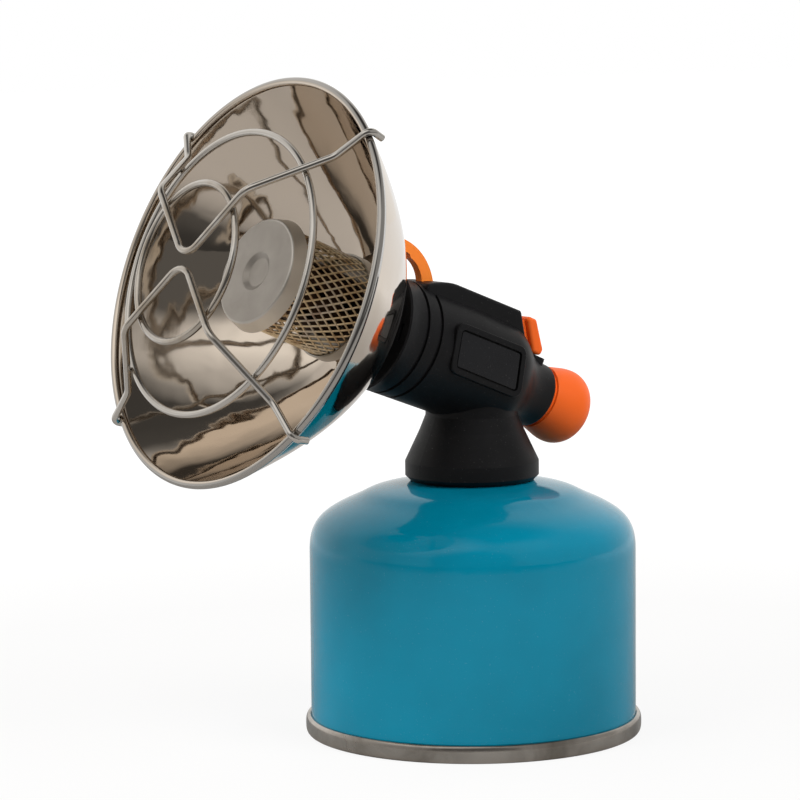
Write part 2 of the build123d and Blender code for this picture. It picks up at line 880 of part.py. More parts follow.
with BuildPart() as gas_jet:
    with BuildSketch(burner_side):
        with BuildLine():
            Polyline(
                (jet_rear_s, gas_way),
                (jet_rear_s, jet_radius),
                (jet_front_s, jet_radius),
                (jet_nose_s, jet_nose_radius),
                (jet_nose_s, jet_bore),
                (jet_front_s, jet_bore),
                (jet_front_s, gas_way),
                close=True,
            )
        make_face()
    revolve(axis=burner_axis)
finish("gas_jet", gas_jet.part)

with BuildPart() as valve_spindle:
    with BuildSketch(burner_side):
        with BuildLine():
            Polyline(
                (spindle_end_s, 0),
                (spindle_end_s, spindle_radius),
                (spindle_tip_s - spindle_needle, spindle_radius),
                (spindle_tip_s, spindle_tip_radius),
                (spindle_tip_s, 0),
                close=True,
            )
        make_face()
    revolve(axis=burner_axis)
    with BuildSketch(burner_cross.offset(spindle_end_s)):
        with Locations((0, spindle_flat + spindle_radius)):
            Rectangle(2 * spindle_radius, 2 * spindle_radius)
    extrude(amount=spindle_flat_s - spindle_end_s, mode=Mode.SUBTRACT)
finish("valve_spindle", valve_spindle.part)

knob_bore = spindle_radius + shaft_gap
with BuildPart() as knob:
    with BuildSketch(burner_side):
        with BuildLine():
            Polyline(
                (knob_front_s, knob_pocket_radius),
                (knob_front_s, knob_neck_radius),
                (knob_front_s - knob_neck, knob_neck_radius),
                (knob_front_s - knob_neck, knob_lip_radius),
            )
            Spline(
                (knob_front_s - knob_neck, knob_lip_radius),
                knob_swell,
                (knob_end_s + knob_round, knob_radius),
                tangents=[(-1, 0.28), (-1, 0)],
            )
            TangentArc(
                (knob_end_s + knob_round, knob_radius),
                (knob_end_s, knob_radius - knob_round),
                tangent=(-1, 0),
            )
            Polyline(
                (knob_end_s, knob_radius - knob_round),
                (knob_end_s, 0),
                (knob_bore_end_s, 0),
                (knob_front_s, 0),
                (knob_front_s, knob_hub_radius),
                (knob_pocket_end_s, knob_hub_radius),
                (knob_pocket_end_s, knob_pocket_radius),
                (knob_front_s, knob_pocket_radius),
            )
        make_face()
    revolve(axis=burner_axis)
    with BuildSketch(burner_cross.offset(knob_front_s)):
        Circle(knob_bore)
        with Locations((0, spindle_flat + shaft_gap + knob_bore)):
            Rectangle(2 * knob_bore, 2 * knob_bore, mode=Mode.SUBTRACT)
    extrude(amount=knob_bore_end_s - knob_front_s, mode=Mode.SUBTRACT)
    with BuildSketch(burner_cross.offset(knob_front_s)):
        Circle(knob_bore)
    extrude(amount=spindle_flat_s - knob_front_s, mode=Mode.SUBTRACT)
finish("knob", knob.part)

# ================================================================ burner
base_front_s = base_s + base_sheet
mesh_front_s = cap_s - cap_sheet - fit_gap
with BuildPart() as mixer_tube:
    with BuildSketch(burner_cross.offset(mixer_rear_s)):
        Circle(mixer_radius)
        Circle(mixer_radius - mixer_wall, mode=Mode.SUBTRACT)
    extrude(amount=base_front_s - mixer_rear_s)
    for turn in range(mixer_air_holes // 2):
        with BuildSketch(turned(burner_side, burner_axis, turn * 360 / mixer_air_holes)):
            with Locations((mixer_air_s, 0)):
                Circle(mixer_air_radius)
        extrude(amount=mixer_radius + cut_past, both=True, mode=Mode.SUBTRACT)
finish("mixer_tube", mixer_tube.part)

with BuildPart() as burner_base:
    with BuildSketch(burner_side):
        with BuildLine():
            Polyline(
                (base_neck_s, mixer_radius + shaft_gap),
                (base_neck_s, mixer_radius + shaft_gap + base_sheet),
                (base_s, mixer_radius + shaft_gap + base_sheet),
                (base_s, mesh_radius + fit_gap + base_lip_sheet),
                (base_front_s + base_lip, mesh_radius + fit_gap + base_lip_sheet),
                (base_front_s + base_lip, mesh_radius + fit_gap),
                (base_front_s, mesh_radius + fit_gap),
                (base_front_s, mixer_radius + shaft_gap),
                close=True,
            )
        make_face()
    revolve(axis=burner_axis)
finish("burner_base", burner_base.part)

row_pitch = (mesh_front_s - base_front_s - 2 * mesh_edge) / (mesh_rows + 1)
column_pitch = 2 * pi * mesh_radius / mesh_columns
with BuildPart() as burner_mesh:
    with BuildSketch(burner_cross.offset(base_front_s)):
        Circle(mesh_radius)
        Circle(mesh_radius - mesh_sheet, mode=Mode.SUBTRACT)
    extrude(amount=mesh_front_s - base_front_s)
    for step in range(mesh_columns):
        with BuildSketch(turned(burner_side, burner_axis, step * 180 / mesh_columns)):
            for row in range(step % 2, mesh_rows, 2):
                middle = base_front_s + mesh_edge + (row + 1) * row_pitch
                with BuildLine():
                    Polyline(
                        (middle - row_pitch + mesh_bar, 0),
                        (middle, column_pitch / 2 - mesh_bar),
                        (middle + row_pitch - mesh_bar, 0),
                        (middle, -column_pitch / 2 + mesh_bar),
                        close=True,
                    )
                make_face()
        extrude(amount=mesh_radius + cut_past, both=True, mode=Mode.SUBTRACT)
finish("burner_mesh", burner_mesh.part)

inner_front_s = cap_s - cap_sheet
slot_pitch = (inner_front_s - base_front_s) / slot_rows
with BuildPart() as burner_inner_tube:
    with BuildSketch(burner_cross.offset(base_front_s)):
        Circle(inner_tube_radius)
        Circle(inner_tube_radius - inner_tube_sheet, mode=Mode.SUBTRACT)
    extrude(amount=inner_front_s - base_front_s)
    for step in range(slot_columns // 2):
        with BuildSketch(turned(burner_side, burner_axis, step * 360 / slot_columns)):
            for row in range(slot_rows):
                with Locations((base_front_s + (row + 0.5) * slot_pitch, 0)):
                    SlotOverall(slot_length, slot_width)
        extrude(amount=inner_tube_radius + cut_past, both=True, mode=Mode.SUBTRACT)
finish("burner_inner_tube", burner_inner_tube.part)

with BuildPart() as burner_cap:
    with BuildSketch(burner_side):
        with BuildLine():
            FilletPolyline(
                (cap_s - dimple_depth, 0),
                (cap_s - dimple_depth, dimple_radius - dimple_slope),
                (cap_s, dimple_radius),
                (cap_s, cap_face_radius),
                cap_skirt,
                radius=cap_round,
            )
            offset(amount=cap_sheet, side=Side.LEFT)
        make_face()
    revolve(axis=burner_axis)
finish("burner_cap", burner_cap.part)

# ================================================================ reflector
# the bowl is a paraboloid: one quadratic curve from the flat back to the rolled edge
reflector_edge = reflector_radius - edge_inset
flat_share = reflector_flat / reflector_radius
edge_share = reflector_edge / reflector_radius
flat_angle = atan(2 * reflector_depth * flat_share / reflector_radius)
edge_angle = atan(2 * reflector_depth * edge_share / reflector_radius)
edge_t = vertex_t + reflector_depth * edge_share**2
middle_t = vertex_t + reflector_depth * flat_share * edge_share
middle_r = (reflector_flat + reflector_edge) / 2
flat_normal = (cos(flat_angle), -sin(flat_angle))
edge_normal = (cos(edge_angle), -sin(edge_angle))
sheet_edge = (edge_t + reflector_sheet * edge_normal[0], reflector_edge + reflector_sheet * edge_normal[1])
spread = 1 + cos(edge_angle - flat_angle)
middle_shift = ((flat_normal[0] + edge_normal[0]) / spread, (flat_normal[1] + edge_normal[1]) / spread)
inner_flat = reflector_flat - reflector_sheet * tan(flat_angle / 2)
with BuildPart() as reflector:
    with BuildSketch(reflector_side):
        with BuildLine():
            Line((boss_front_t, 0), (boss_front_t, reflector_flat))
            Bezier((boss_front_t, reflector_flat), (middle_t, middle_r), (edge_t, reflector_edge))
            Line((edge_t, reflector_edge), sheet_edge)
            Bezier(
                sheet_edge,
                (middle_t + reflector_sheet * middle_shift[0], middle_r + reflector_sheet * middle_shift[1]),
                (boss_front_t + reflector_sheet, inner_flat),
            )
            Polyline(
                (boss_front_t + reflector_sheet, inner_flat),
                (boss_front_t + reflector_sheet, 0),
                (boss_front_t, 0),
            )
        make_face()
    revolve(axis=reflector_axis)
    with BuildSketch(reflector_side):
        with Locations((reflector_rim_t, reflector_radius - bead_radius)):
            Circle(bead_radius)
    revolve(axis=reflector_axis)
    with BuildSketch(burner_cross):
        Circle(burner_hole_radius)
    extrude(amount=base_neck_s, mode=Mode.SUBTRACT)
    with BuildSketch(fixing_plane):
        with PolarLocations(fixing_circle, fixing_count, start_angle=fixing_start):
            Circle(fixing_shank_radius + shaft_gap)
    extrude(amount=fixing_length, both=True, mode=Mode.SUBTRACT)
    with BuildSketch(reflector_cross.offset(boss_front_t)):
        with Locations((-insulator_offset, 0)):
            Circle(insulator_radius + fit_gap)
    extrude(amount=fixing_length, both=True, mode=Mode.SUBTRACT)
finish("reflector", reflector.part)

with BuildPart() as reflector_screws:
    with BuildSketch(fixing_plane):
        with PolarLocations(fixing_circle, fixing_count, start_angle=fixing_start):
            Circle(fixing_head_radius)
    extrude(amount=fixing_head_height)
    with BuildSketch(fixing_plane):
        with PolarLocations(fixing_circle, fixing_count, start_angle=fixing_start):
            Circle(fixing_shank_radius)
    extrude(amount=-fixing_length)
finish("reflector_screws", reflector_screws.part)

# ================================================================ guard
# the wires' hooks wrap around the bead, so both lines beside a hook touch the same circle
guard_plane = turned(reflector_cross.offset(reflector_rim_t), reflector_axis, guard_turn)
hook_radius = bead_radius + wire_radius + hook_gap
bead_centre_radius = reflector_radius - bead_radius
guard_foot_radius = reflector_radius - guard_foot_inset
ring_outer_radius = reflector_radius - ring_outer_inset
rise = radians(hook_rise)
fall = radians(hook_fall)
half_bend = (rise - fall) / 2
crest_reach = hook_radius / cos(half_bend)
crest_radius = bead_centre_radius + crest_reach * cos((rise + fall) / 2)
crest_s = crest_reach * sin((rise + fall) / 2)
tip_radius = crest_radius + hook_length * sin(fall)
tip_s = crest_s - hook_length * cos(fall)
foot_s = crest_s + (crest_radius - guard_foot_radius) / tan(rise)
leg_slope = (guard_top_s - foot_s) / (guard_foot_radius - guard_knee_radius)
ring_inner_s = guard_top_s - 2 * wire_radius
ring_outer_s = (
    foot_s + (guard_foot_radius - ring_outer_radius) * leg_slope - 2 * wire_radius * sqrt(1 + leg_slope**2)
)

with BuildPart(guard_plane.offset(ring_outer_s)) as guard_ring_outer:
    Torus(ring_outer_radius, wire_radius)
finish("guard_ring_outer", guard_ring_outer.part)

inner_plane = guard_plane.offset(ring_inner_s)
with BuildPart() as guard_ring_inner:
    with BuildLine(inner_plane) as inner_path:
        EllipticalCenterArc(
            (ring_inner_shift, 0),
            ring_inner_half_width,
            ring_inner_half_height,
            arc_size=360,
        )
    with BuildSketch(Plane(origin=inner_path.line @ 0, z_dir=inner_path.line % 0)):
        Circle(wire_radius)
    sweep(path=inner_path.line)
finish("guard_ring_inner", guard_ring_inner.part)

leg_stations = (
    (tip_radius, tip_s),
    (crest_radius, crest_s),
    (guard_foot_radius, foot_s),
    (guard_knee_radius, guard_top_s),
)
leg_bends = [hook_radius, guard_foot_bend, guard_knee_bend]
for wire_name, half_turn in (("guard_wire_upper", 0), ("guard_wire_lower", 180)):
    wire_plane = turned(guard_plane, reflector_axis, half_turn)
    along = cos(radians(leg_angle))
    leg = [(along * r, along * r, s) for r, s in leg_stations]
    mirrored = [(-x, y, s) for x, y, s in reversed(leg)]
    with BuildPart() as guard_wire:
        with BuildLine(wire_plane) as wire_path:
            FilletPolyline(
                *leg,
                (0, 0, guard_top_s),
                *mirrored,
                radius=leg_bends + [guard_centre_bend] + leg_bends[::-1],
            )
        with BuildSketch(Plane(origin=wire_path.line @ 0, z_dir=wire_path.line % 0)):
            Circle(wire_radius)
        sweep(path=wire_path.line)
    finish(wire_name, guard_wire.part)

# ================================================================ igniter
pad_front_shift = button_stroke + face_gap
rear_slope = (block_rear_top[0] - block_rear_low[0]) / (block_rear_top[1] - block_rear_low[1])
pad_front_top_s = block_rear_top[0] - (block_rear_top[1] - button_top) * rear_slope - pad_front_shift
pad_bottom = ledge_top + face_gap
pad_front_low_s = block_rear_low[0] + (pad_bottom - block_rear_low[1]) * rear_slope - pad_front_shift
with BuildPart() as igniter_button:
    with BuildSketch(burner_side):
        with BuildLine():
            Polyline(
                (pad_front_top_s, button_top),
                button_rear_top,
                button_rear_belly,
                (button_rear_low_s, pad_bottom),
                (pad_front_low_s, pad_bottom),
                close=True,
            )
        make_face()
    extrude(amount=button_half_width, both=True)
    fillet(igniter_button.edges(), radius=button_round)
    with BuildSketch(burner_side):
        with BuildLine():
            Polyline(
                (pad_front_low_s - button_round, neck_bottom),
                (neck_front_s, neck_bottom),
                (neck_front_s, neck_top),
                (pad_front_top_s - button_round, neck_top),
                close=True,
            )
        make_face()
    extrude(amount=neck_half_width, both=True)
    with BuildSketch(burner_cross.offset(plunger_rear_s)):
        with Locations((0, (piezo_bottom + piezo_top) / 2)):
            Rectangle(2 * plunger_half, 2 * plunger_half)
    extrude(amount=neck_front_s - plunger_rear_s, mode=Mode.SUBTRACT)
finish("igniter_button", igniter_button.part)

with BuildPart() as igniter_plunger:
    with BuildSketch(burner_cross.offset(plunger_rear_s)):
        with Locations((0, (piezo_bottom + piezo_top) / 2)):
            Rectangle(2 * plunger_half, 2 * plunger_half)
    extrude(amount=plunger_front_s - plunger_rear_s)
finish("igniter_plunger", igniter_plunger.part)

with BuildPart() as igniter_body:
    with BuildSketch(burner_cross.offset(piezo_rear_s)):
        with Locations((0, (piezo_bottom + piezo_top) / 2)):
            Rectangle(2 * piezo_half_width, piezo_top - piezo_bottom)
    extrude(amount=piezo_front_s - piezo_rear_s)
    with BuildSketch(burner_cross.offset(piezo_rear_s)):
        with Locations((0, (piezo_bottom + piezo_top) / 2)):
            Rectangle(2 * (plunger_half + face_gap), 2 * (plunger_half + face_gap))
    extrude(amount=plunger_front_s + button_stroke + face_gap - piezo_rear_s, mode=Mode.SUBTRACT)
finish("igniter_body", igniter_body.part)

with BuildPart() as electrode_insulator:
    with BuildSketch(reflector_cross.offset(insulator_rear_t)):
        with Locations((-insulator_offset, 0)):
            Circle(insulator_radius)
    extrude(amount=insulator_front_t - insulator_rear_t)
    with BuildSketch(reflector_cross.offset(boss_front_t + reflector_sheet)):
        with Locations((-insulator_offset, 0)):
            Circle(insulator_collar_radius)
    extrude(amount=insulator_collar)
    with BuildSketch(reflector_cross.offset(insulator_rear_t)):
        with Locations((-insulator_offset, 0)):
            Circle(electrode_radius + shaft_gap)
    extrude(amount=insulator_front_t - insulator_rear_t, mode=Mode.SUBTRACT)
finish("electrode_insulator", electrode_insulator.part)

with BuildPart() as electrode_rod:
    with BuildLine(reflector_cross) as rod_path:
        FilletPolyline(
            (-insulator_offset, 0, electrode_rear_t),
            (-insulator_offset, 0, electrode_bend_t[0]),
            (-electrode_reach, 0, electrode_bend_t[1]),
            (-electrode_reach, 0, electrode_tip_t),
            radius=electrode_bend,
        )
    with BuildSketch(Plane(origin=rod_path.line @ 0, z_dir=rod_path.line % 0)):
        Circle(electrode_radius)
    sweep(path=rod_path.line)
finish("electrode_rod", electrode_rod.part)

with BuildPart() as igniter_lead:
    with BuildLine(reflector_cross) as lead_path:
        FilletPolyline(
            *lead_path_points,
            (-insulator_offset, 0, electrode_rear_t),
            radius=lead_bend,
        )
    with BuildSketch(Plane(origin=lead_path.line @ 0, z_dir=lead_path.line % 0)):
        Circle(lead_radius)
    sweep(path=lead_path.line)
finish("igniter_lead", igniter_lead.part)
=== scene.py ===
"""Looks for a portable gas heater: paint, plastics and metals, burner gauze, spun bowl and studio.

Everything is in metres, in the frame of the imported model. The reflector faces -Y.
"""

import json
from math import atan2, cos, pi, radians, sin, sqrt

import bmesh
import bpy
from bpy.props import FloatProperty, FloatVectorProperty, IntProperty, PointerProperty
from mathutils import Matrix, Vector


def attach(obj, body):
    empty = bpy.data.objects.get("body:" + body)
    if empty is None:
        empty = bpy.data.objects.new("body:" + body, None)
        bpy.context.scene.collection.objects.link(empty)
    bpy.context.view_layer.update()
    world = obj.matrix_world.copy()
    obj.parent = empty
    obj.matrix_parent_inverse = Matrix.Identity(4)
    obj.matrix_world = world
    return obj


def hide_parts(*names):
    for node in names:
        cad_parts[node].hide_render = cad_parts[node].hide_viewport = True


bl_info = {
    "name": "Gas heater looks",
    "version": (1, 0, 0),
    "blender": (4, 5, 0),
    "location": "3D View > Sidebar > Heater",
    "description": "Finishes, burner gauze, spun bowl and studio for a portable gas heater",
    "category": "Object",
}

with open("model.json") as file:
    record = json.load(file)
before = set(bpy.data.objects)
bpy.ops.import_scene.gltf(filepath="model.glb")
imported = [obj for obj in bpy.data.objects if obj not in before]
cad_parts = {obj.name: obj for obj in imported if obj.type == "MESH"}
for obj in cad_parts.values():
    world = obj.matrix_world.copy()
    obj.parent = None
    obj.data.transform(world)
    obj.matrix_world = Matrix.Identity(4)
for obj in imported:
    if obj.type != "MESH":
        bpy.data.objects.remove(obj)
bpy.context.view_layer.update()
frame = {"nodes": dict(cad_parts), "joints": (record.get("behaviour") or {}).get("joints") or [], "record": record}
cad_node = frame["nodes"]
knob_turn = next(joint for joint in frame["joints"] if joint["name"] == "knob_turn")

# ------------------------------------------------------------------ layout, as in the CAD part
burner_origin = Vector(knob_turn["pos_m"])
burner_direction = Vector(knob_turn["axis"]).normalized()
droop_pivot = 0.0110
reflector_tilt = radians(19.9)
reflector_direction = Vector((0, -cos(reflector_tilt), sin(reflector_tilt)))
reflector_origin = burner_origin + burner_direction * droop_pivot


def frame_along(origin, direction):
    """Matrix of a frame whose Z runs along a direction in the YZ plane and whose X is +X."""
    z = direction.normalized()
    x = Vector((1, 0, 0))
    y = z.cross(x)
    return Matrix(
        ((x.x, y.x, z.x, origin.x), (x.y, y.y, z.y, origin.y), (x.z, y.z, z.z, origin.z), (0, 0, 0, 1))
    )


burner_frame = frame_along(burner_origin, burner_direction)
reflector_frame = frame_along(reflector_origin, reflector_direction)
view_turn = radians(51.3875)


def studio_direction(turn, rise):
    """Direction in the studio: turn is degrees to the right of straight away from the camera."""
    heading, lift = view_turn - radians(turn), radians(rise)
    return Vector((-sin(heading) * cos(lift), cos(heading) * cos(lift), sin(lift)))


# ------------------------------------------------------------------ settings
class HeaterFinish(bpy.types.PropertyGroup):
    """Colours of the finishes."""

    canister_paint: FloatVectorProperty(
        name="Canister paint",
        description="Colour of the canister's gloss paint",
        subtype="COLOR",
        size=3,
        min=0,
        max=1,
        default=(0.0, 0.215, 0.335),
    )
    black_plastic: FloatVectorProperty(
        name="Housing plastic",
        description="Colour of the moulded black housing",
        subtype="COLOR",
        size=3,
        min=0,
        max=1,
        default=(0.0055, 0.0055, 0.006),
    )
    orange_plastic: FloatVectorProperty(
        name="Control plastic",
        description="Colour of the knob, the button and the hanging loop",
        subtype="COLOR",
        size=3,
        min=0,
        max=1,
        default=(0.83, 0.125, 0.014),
    )
    bowl_steel: FloatVectorProperty(
        name="Bowl steel",
        description="Colour of the polished bowl",
        subtype="COLOR",
        size=3,
        min=0,
        max=1,
        default=(0.66, 0.575, 0.485),
    )


class HeaterGauze(bpy.types.PropertyGroup):
    """Sizes of the burner's expanded metal."""

    strands: IntProperty(
        name="Strands",
        description="Strands in each of the two crossing families",
        default=38,
        min=8,
        max=80,
    )
    strand_width: FloatProperty(
        name="Strand width",
        description="Width of a strand in the surface",
        default=0.00064,
        min=0.0001,
        max=0.002,
        unit="LENGTH",
    )
    strand_thickness: FloatProperty(
        name="Strand thickness",
        description="Thickness of a strand across the surface",
        default=0.00038,
        min=0.0001,
        max=0.002,
        unit="LENGTH",
    )
    cell_length: FloatProperty(
        name="Cell length",
        description="Length of a diamond opening along the burner",
        default=0.0050,
        min=0.001,
        max=0.02,
        unit="LENGTH",
    )


class HeaterBowl(bpy.types.PropertyGroup):
    """Fineness of the spun bowl."""

    segments: IntProperty(
        name="Segments",
        description="Faces around the bowl",
        default=256,
        min=64,
        max=512,
    )
    steps: IntProperty(
        name="Steps",
        description="Faces from the flat back to the rim",
        default=56,
        min=16,
        max=128,
    )


class HeaterStudio(bpy.types.PropertyGroup):
    """Strength of the studio's lamps."""

    front_power: FloatProperty(
        name="Front lamps",
        description="Power of each of the two soft lamps above and beside the camera",
        default=10.5,
        min=0,
        max=200,
    )
    edge_power: FloatProperty(
        name="Edge lamps",
        description="Power of each of the two tall lamps behind the object",
        default=2.5,
        min=0,
        max=200,
    )
    room_level: FloatProperty(
        name="Room level",
        description="Brightness of the room around the object",
        default=0.42,
        min=0,
        max=2,
    )


# ------------------------------------------------------------------ shader building blocks
def link(tree, source, target):
    """A wire from an output socket to an input socket."""
    tree.links.new(source, target)


def new_node(tree, kind, **values):
    """A shader or geometry node with attributes set by name."""
    node = tree.nodes.new(kind)
    for name, value in values.items():
        setattr(node, name, value)
    return node


def lay_out(tree):
    """Place a tree's nodes in columns, each to the right of what feeds it."""
    columns = {}

    def column(node):
        if node.name not in columns:
            columns[node.name] = 0
            sources = [wire.from_node for socket in node.inputs for wire in socket.links]
            columns[node.name] = 1 + max(map(column, sources), default=0)
        return columns[node.name]

    column_width, row_height = 260, 320
    rows = {}
    for node in tree.nodes:
        place = column(node)
        node.location = (column_width * place, -row_height * rows.get(place, 0))
        rows[place] = rows.get(place, 0) + 1


def group_tree(name, inputs, outputs):
    """An empty shader node group with named sockets, and its input and output nodes."""
    tree = bpy.data.node_groups.new(name, "ShaderNodeTree")
    for socket, kind, default in inputs:
        made = tree.interface.new_socket(socket, in_out="INPUT", socket_type=kind)
        if default is not None:
            made.default_value = default
    for socket, kind in outputs:
        tree.interface.new_socket(socket, in_out="OUTPUT", socket_type=kind)
    start = new_node(tree, "NodeGroupInput")
    end = new_node(tree, "NodeGroupOutput")
    return tree, start, end


def fed_node(tree, kind, inputs, **values):
    """A node whose inputs are fed by sockets or set to values; returns its first output."""
    node = new_node(tree, kind, **values)
    for name, value in inputs.items():
        if hasattr(value, "is_linked"):
            link(tree, value, node.inputs[name])
        else:
            node.inputs[name].default_value = value
    return node.outputs[0]


def math_node(tree, operation, a, b=0.0):
    """A Math node whose inputs are sockets or numbers."""
    return fed_node(tree, "ShaderNodeMath", {0: a, 1: b}, operation=operation)


def noise_node(tree, vector, scale, detail, roughness=0.55, distortion=0.0):
    """The value of a Noise Texture fed by a vector socket."""
    inputs = {"Vector": vector, "Scale": scale, "Detail": detail}
    inputs.update({"Roughness": roughness, "Distortion": distortion})
    return fed_node(tree, "ShaderNodeTexNoise", inputs)


def remap(tree, value, low, high, to_low, to_high):
    """A clamped Map Range."""
    inputs = {"Value": value, "From Min": low, "From Max": high, "To Min": to_low, "To Max": to_high}
    return fed_node(tree, "ShaderNodeMapRange", inputs)


def direction_dot(tree, vector, direction):
    """The dot product of a vector socket and a fixed direction."""
    node = new_node(tree, "ShaderNodeVectorMath", operation="DOT_PRODUCT")
    link(tree, vector, node.inputs[0])
    node.inputs[1].default_value = direction
    return node.outputs["Value"]


def mix_colours(tree, factor, a, b):
    """A colour Mix whose factor and colours are sockets or values."""
    node = new_node(tree, "ShaderNodeMix", data_type="RGBA")
    for socket, value in ((node.inputs[0], factor), (node.inputs[6], a), (node.inputs[7], b)):
        if hasattr(value, "is_linked"):
            link(tree, value, socket)
        elif isinstance(value, (int, float)):
            socket.default_value = value
        else:
            socket.default_value = (*value[:3], 1)
    return node.outputs[2]


def build_mould_grain():
    """Fine moulded grain with slow unevenness: Height, Roughness and Mask."""
    tree, start, end = group_tree(
        "mould_grain",
        (
            ("Vector", "NodeSocketVector", None),
            ("Grain Scale", "NodeSocketFloat", 2600.0),
            ("Roughness Low", "NodeSocketFloat", 0.4),
            ("Roughness High", "NodeSocketFloat", 0.55),
        ),
        (("Height", "NodeSocketFloat"), ("Roughness", "NodeSocketFloat"), ("Mask", "NodeSocketFloat")),
    )
    vector = start.outputs["Vector"]
    grain = noise_node(tree, vector, start.outputs["Grain Scale"], 2)
    slow = noise_node(tree, vector, 38.0, 4)
    span = math_node(tree, "SUBTRACT", start.outputs["Roughness High"], start.outputs["Roughness Low"])
    mask = remap(tree, slow, 0.35, 0.68, 0, 1)
    uneven = math_node(tree, "MULTIPLY", mask, span)
    link(tree, grain, end.inputs["Height"])
    link(tree, math_node(tree, "ADD", uneven, start.outputs["Roughness Low"]), end.inputs["Roughness"])
    link(tree, mask, end.inputs["Mask"])
    return tree


def build_turned_lines():
    """Fine rings around Z, as turning or spinning leaves them: Height and Mask."""
    tree, start, end = group_tree(
        "turned_lines",
        (
            ("Vector", "NodeSocketVector", None),
            ("Line Scale", "NodeSocketFloat", 900.0),
            ("Slow Scale", "NodeSocketFloat", 60.0),
        ),
        (("Height", "NodeSocketFloat"), ("Mask", "NodeSocketFloat"), ("Radius", "NodeSocketFloat")),
    )
    split = new_node(tree, "ShaderNodeSeparateXYZ")
    link(tree, start.outputs["Vector"], split.inputs[0])
    squared_x = math_node(tree, "MULTIPLY", split.outputs[0], split.outputs[0])
    squared_y = math_node(tree, "MULTIPLY", split.outputs[1], split.outputs[1])
    summed = math_node(tree, "ADD", squared_x, squared_y)
    radius = math_node(tree, "SQRT", summed)
    flat = fed_node(tree, "ShaderNodeCombineXYZ", {"X": radius, "Z": split.outputs[2]})
    lines = noise_node(tree, flat, start.outputs["Line Scale"], 3, roughness=0.7)
    slow = noise_node(tree, start.outputs["Vector"], start.outputs["Slow Scale"], 4, distortion=0.4)
    link(tree, lines, end.inputs["Height"])
    link(tree, remap(tree, slow, 0.3, 0.7, 0, 1), end.inputs["Mask"])
    link(tree, radius, end.inputs["Radius"])
    return tree


def build_dust():
    """Sparse specks and soft smudges: Specks and Smudges."""
    tree, start, end = group_tree(
        "dust_and_smudges",
        (("Vector", "NodeSocketVector", None), ("Speck Scale", "NodeSocketFloat", 900.0)),
        (("Specks", "NodeSocketFloat"), ("Smudges", "NodeSocketFloat")),
    )
    vector = start.outputs["Vector"]
    specks = noise_node(tree, vector, start.outputs["Speck Scale"], 1)
    smudges = noise_node(tree, vector, 24.0, 5, roughness=0.62, distortion=0.6)
    link(tree, remap(tree, specks, 0.70, 0.78, 0, 1), end.inputs["Specks"])
    link(tree, remap(tree, smudges, 0.42, 0.72, 0, 1), end.inputs["Smudges"])
    return tree


def new_material(name, slot_colour=(0.5, 0.5, 0.5), **values):
    """A node material with a Principled BSDF; values are set on its own sockets."""
    material = bpy.data.materials.new(name)
    material.use_nodes = True
    material.diffuse_color = (*slot_colour, 1)
    tree = material.node_tree
    shader = tree.nodes["Principled BSDF"]
    shader.inputs["Base Color"].default_value = (*slot_colour, 1)
    for socket, value in values.items():
        shader.inputs[socket.replace("_", " ")].default_value = value
    return material, tree, shader


def object_vector(tree, frame_matrix=None):
    """Object coordinates, seen in a frame of the part when one is given."""
    place = new_node(tree, "ShaderNodeTexCoord").outputs["Object"]
    if frame_matrix is None:
        return place
    inverse = frame_matrix.inverted()
    inputs = {"Vector": place, "Location": inverse.translation, "Rotation": inverse.to_euler("XYZ")}
    return fed_node(tree, "ShaderNodeMapping", inputs, vector_type="POINT")


def place_group(tree, group, vector, **values):
    """A shader group fed by a vector, with its own values."""
    node = new_node(tree, "ShaderNodeGroup", node_tree=group)
    link(tree, vector, node.inputs["Vector"])
    for name, value in values.items():
        node.inputs[name.replace("_", " ")].default_value = value
    return node


def feed_surface(tree, shader, colour, roughness):
    """Link a colour and a roughness to the shader."""
    link(tree, colour, shader.inputs["Base Color"])
    link(tree, roughness, shader.inputs["Roughness"])


def add_bump(tree, shader, height, strength, distance, normal=None):
    """A Bump node between a height and the shader's Normal."""
    inputs = {"Height": height, "Strength": strength, "Distance": distance}
    if normal is not None:
        inputs["Normal"] = normal
    bumped = fed_node(tree, "ShaderNodeBump", inputs)
    link(tree, bumped, shader.inputs["Normal"])
    return bumped


# ------------------------------------------------------------------ finishes
def painted_canister(groups, colour):
    """Gloss paint on drawn steel, with orange peel, soft smudges and fine dust."""
    material, tree, shader = new_material("canister_gloss_paint", colour, Specular_IOR_Level=0.3)
    vector = object_vector(tree)
    dust = place_group(tree, groups["dust"], vector, Speck_Scale=1500.0)
    peel = noise_node(tree, vector, 420.0, 3)
    slow = noise_node(tree, vector, 30.0, 4)
    deeper = tuple(c * 0.86 for c in colour)
    shade = mix_colours(tree, remap(tree, slow, 0.35, 0.7, 0, 1), colour, deeper)
    dusty = math_node(tree, "MULTIPLY", dust.outputs["Specks"], 0.10)
    paler = tuple(min(1, c + 0.30) for c in colour)
    tinted = mix_colours(tree, dusty, shade, paler)
    rough = remap(tree, dust.outputs["Smudges"], 0, 1, 0.07, 0.13)
    feed_surface(tree, shader, tinted, rough)
    add_bump(tree, shader, peel, 0.06, 0.0001)
    return material


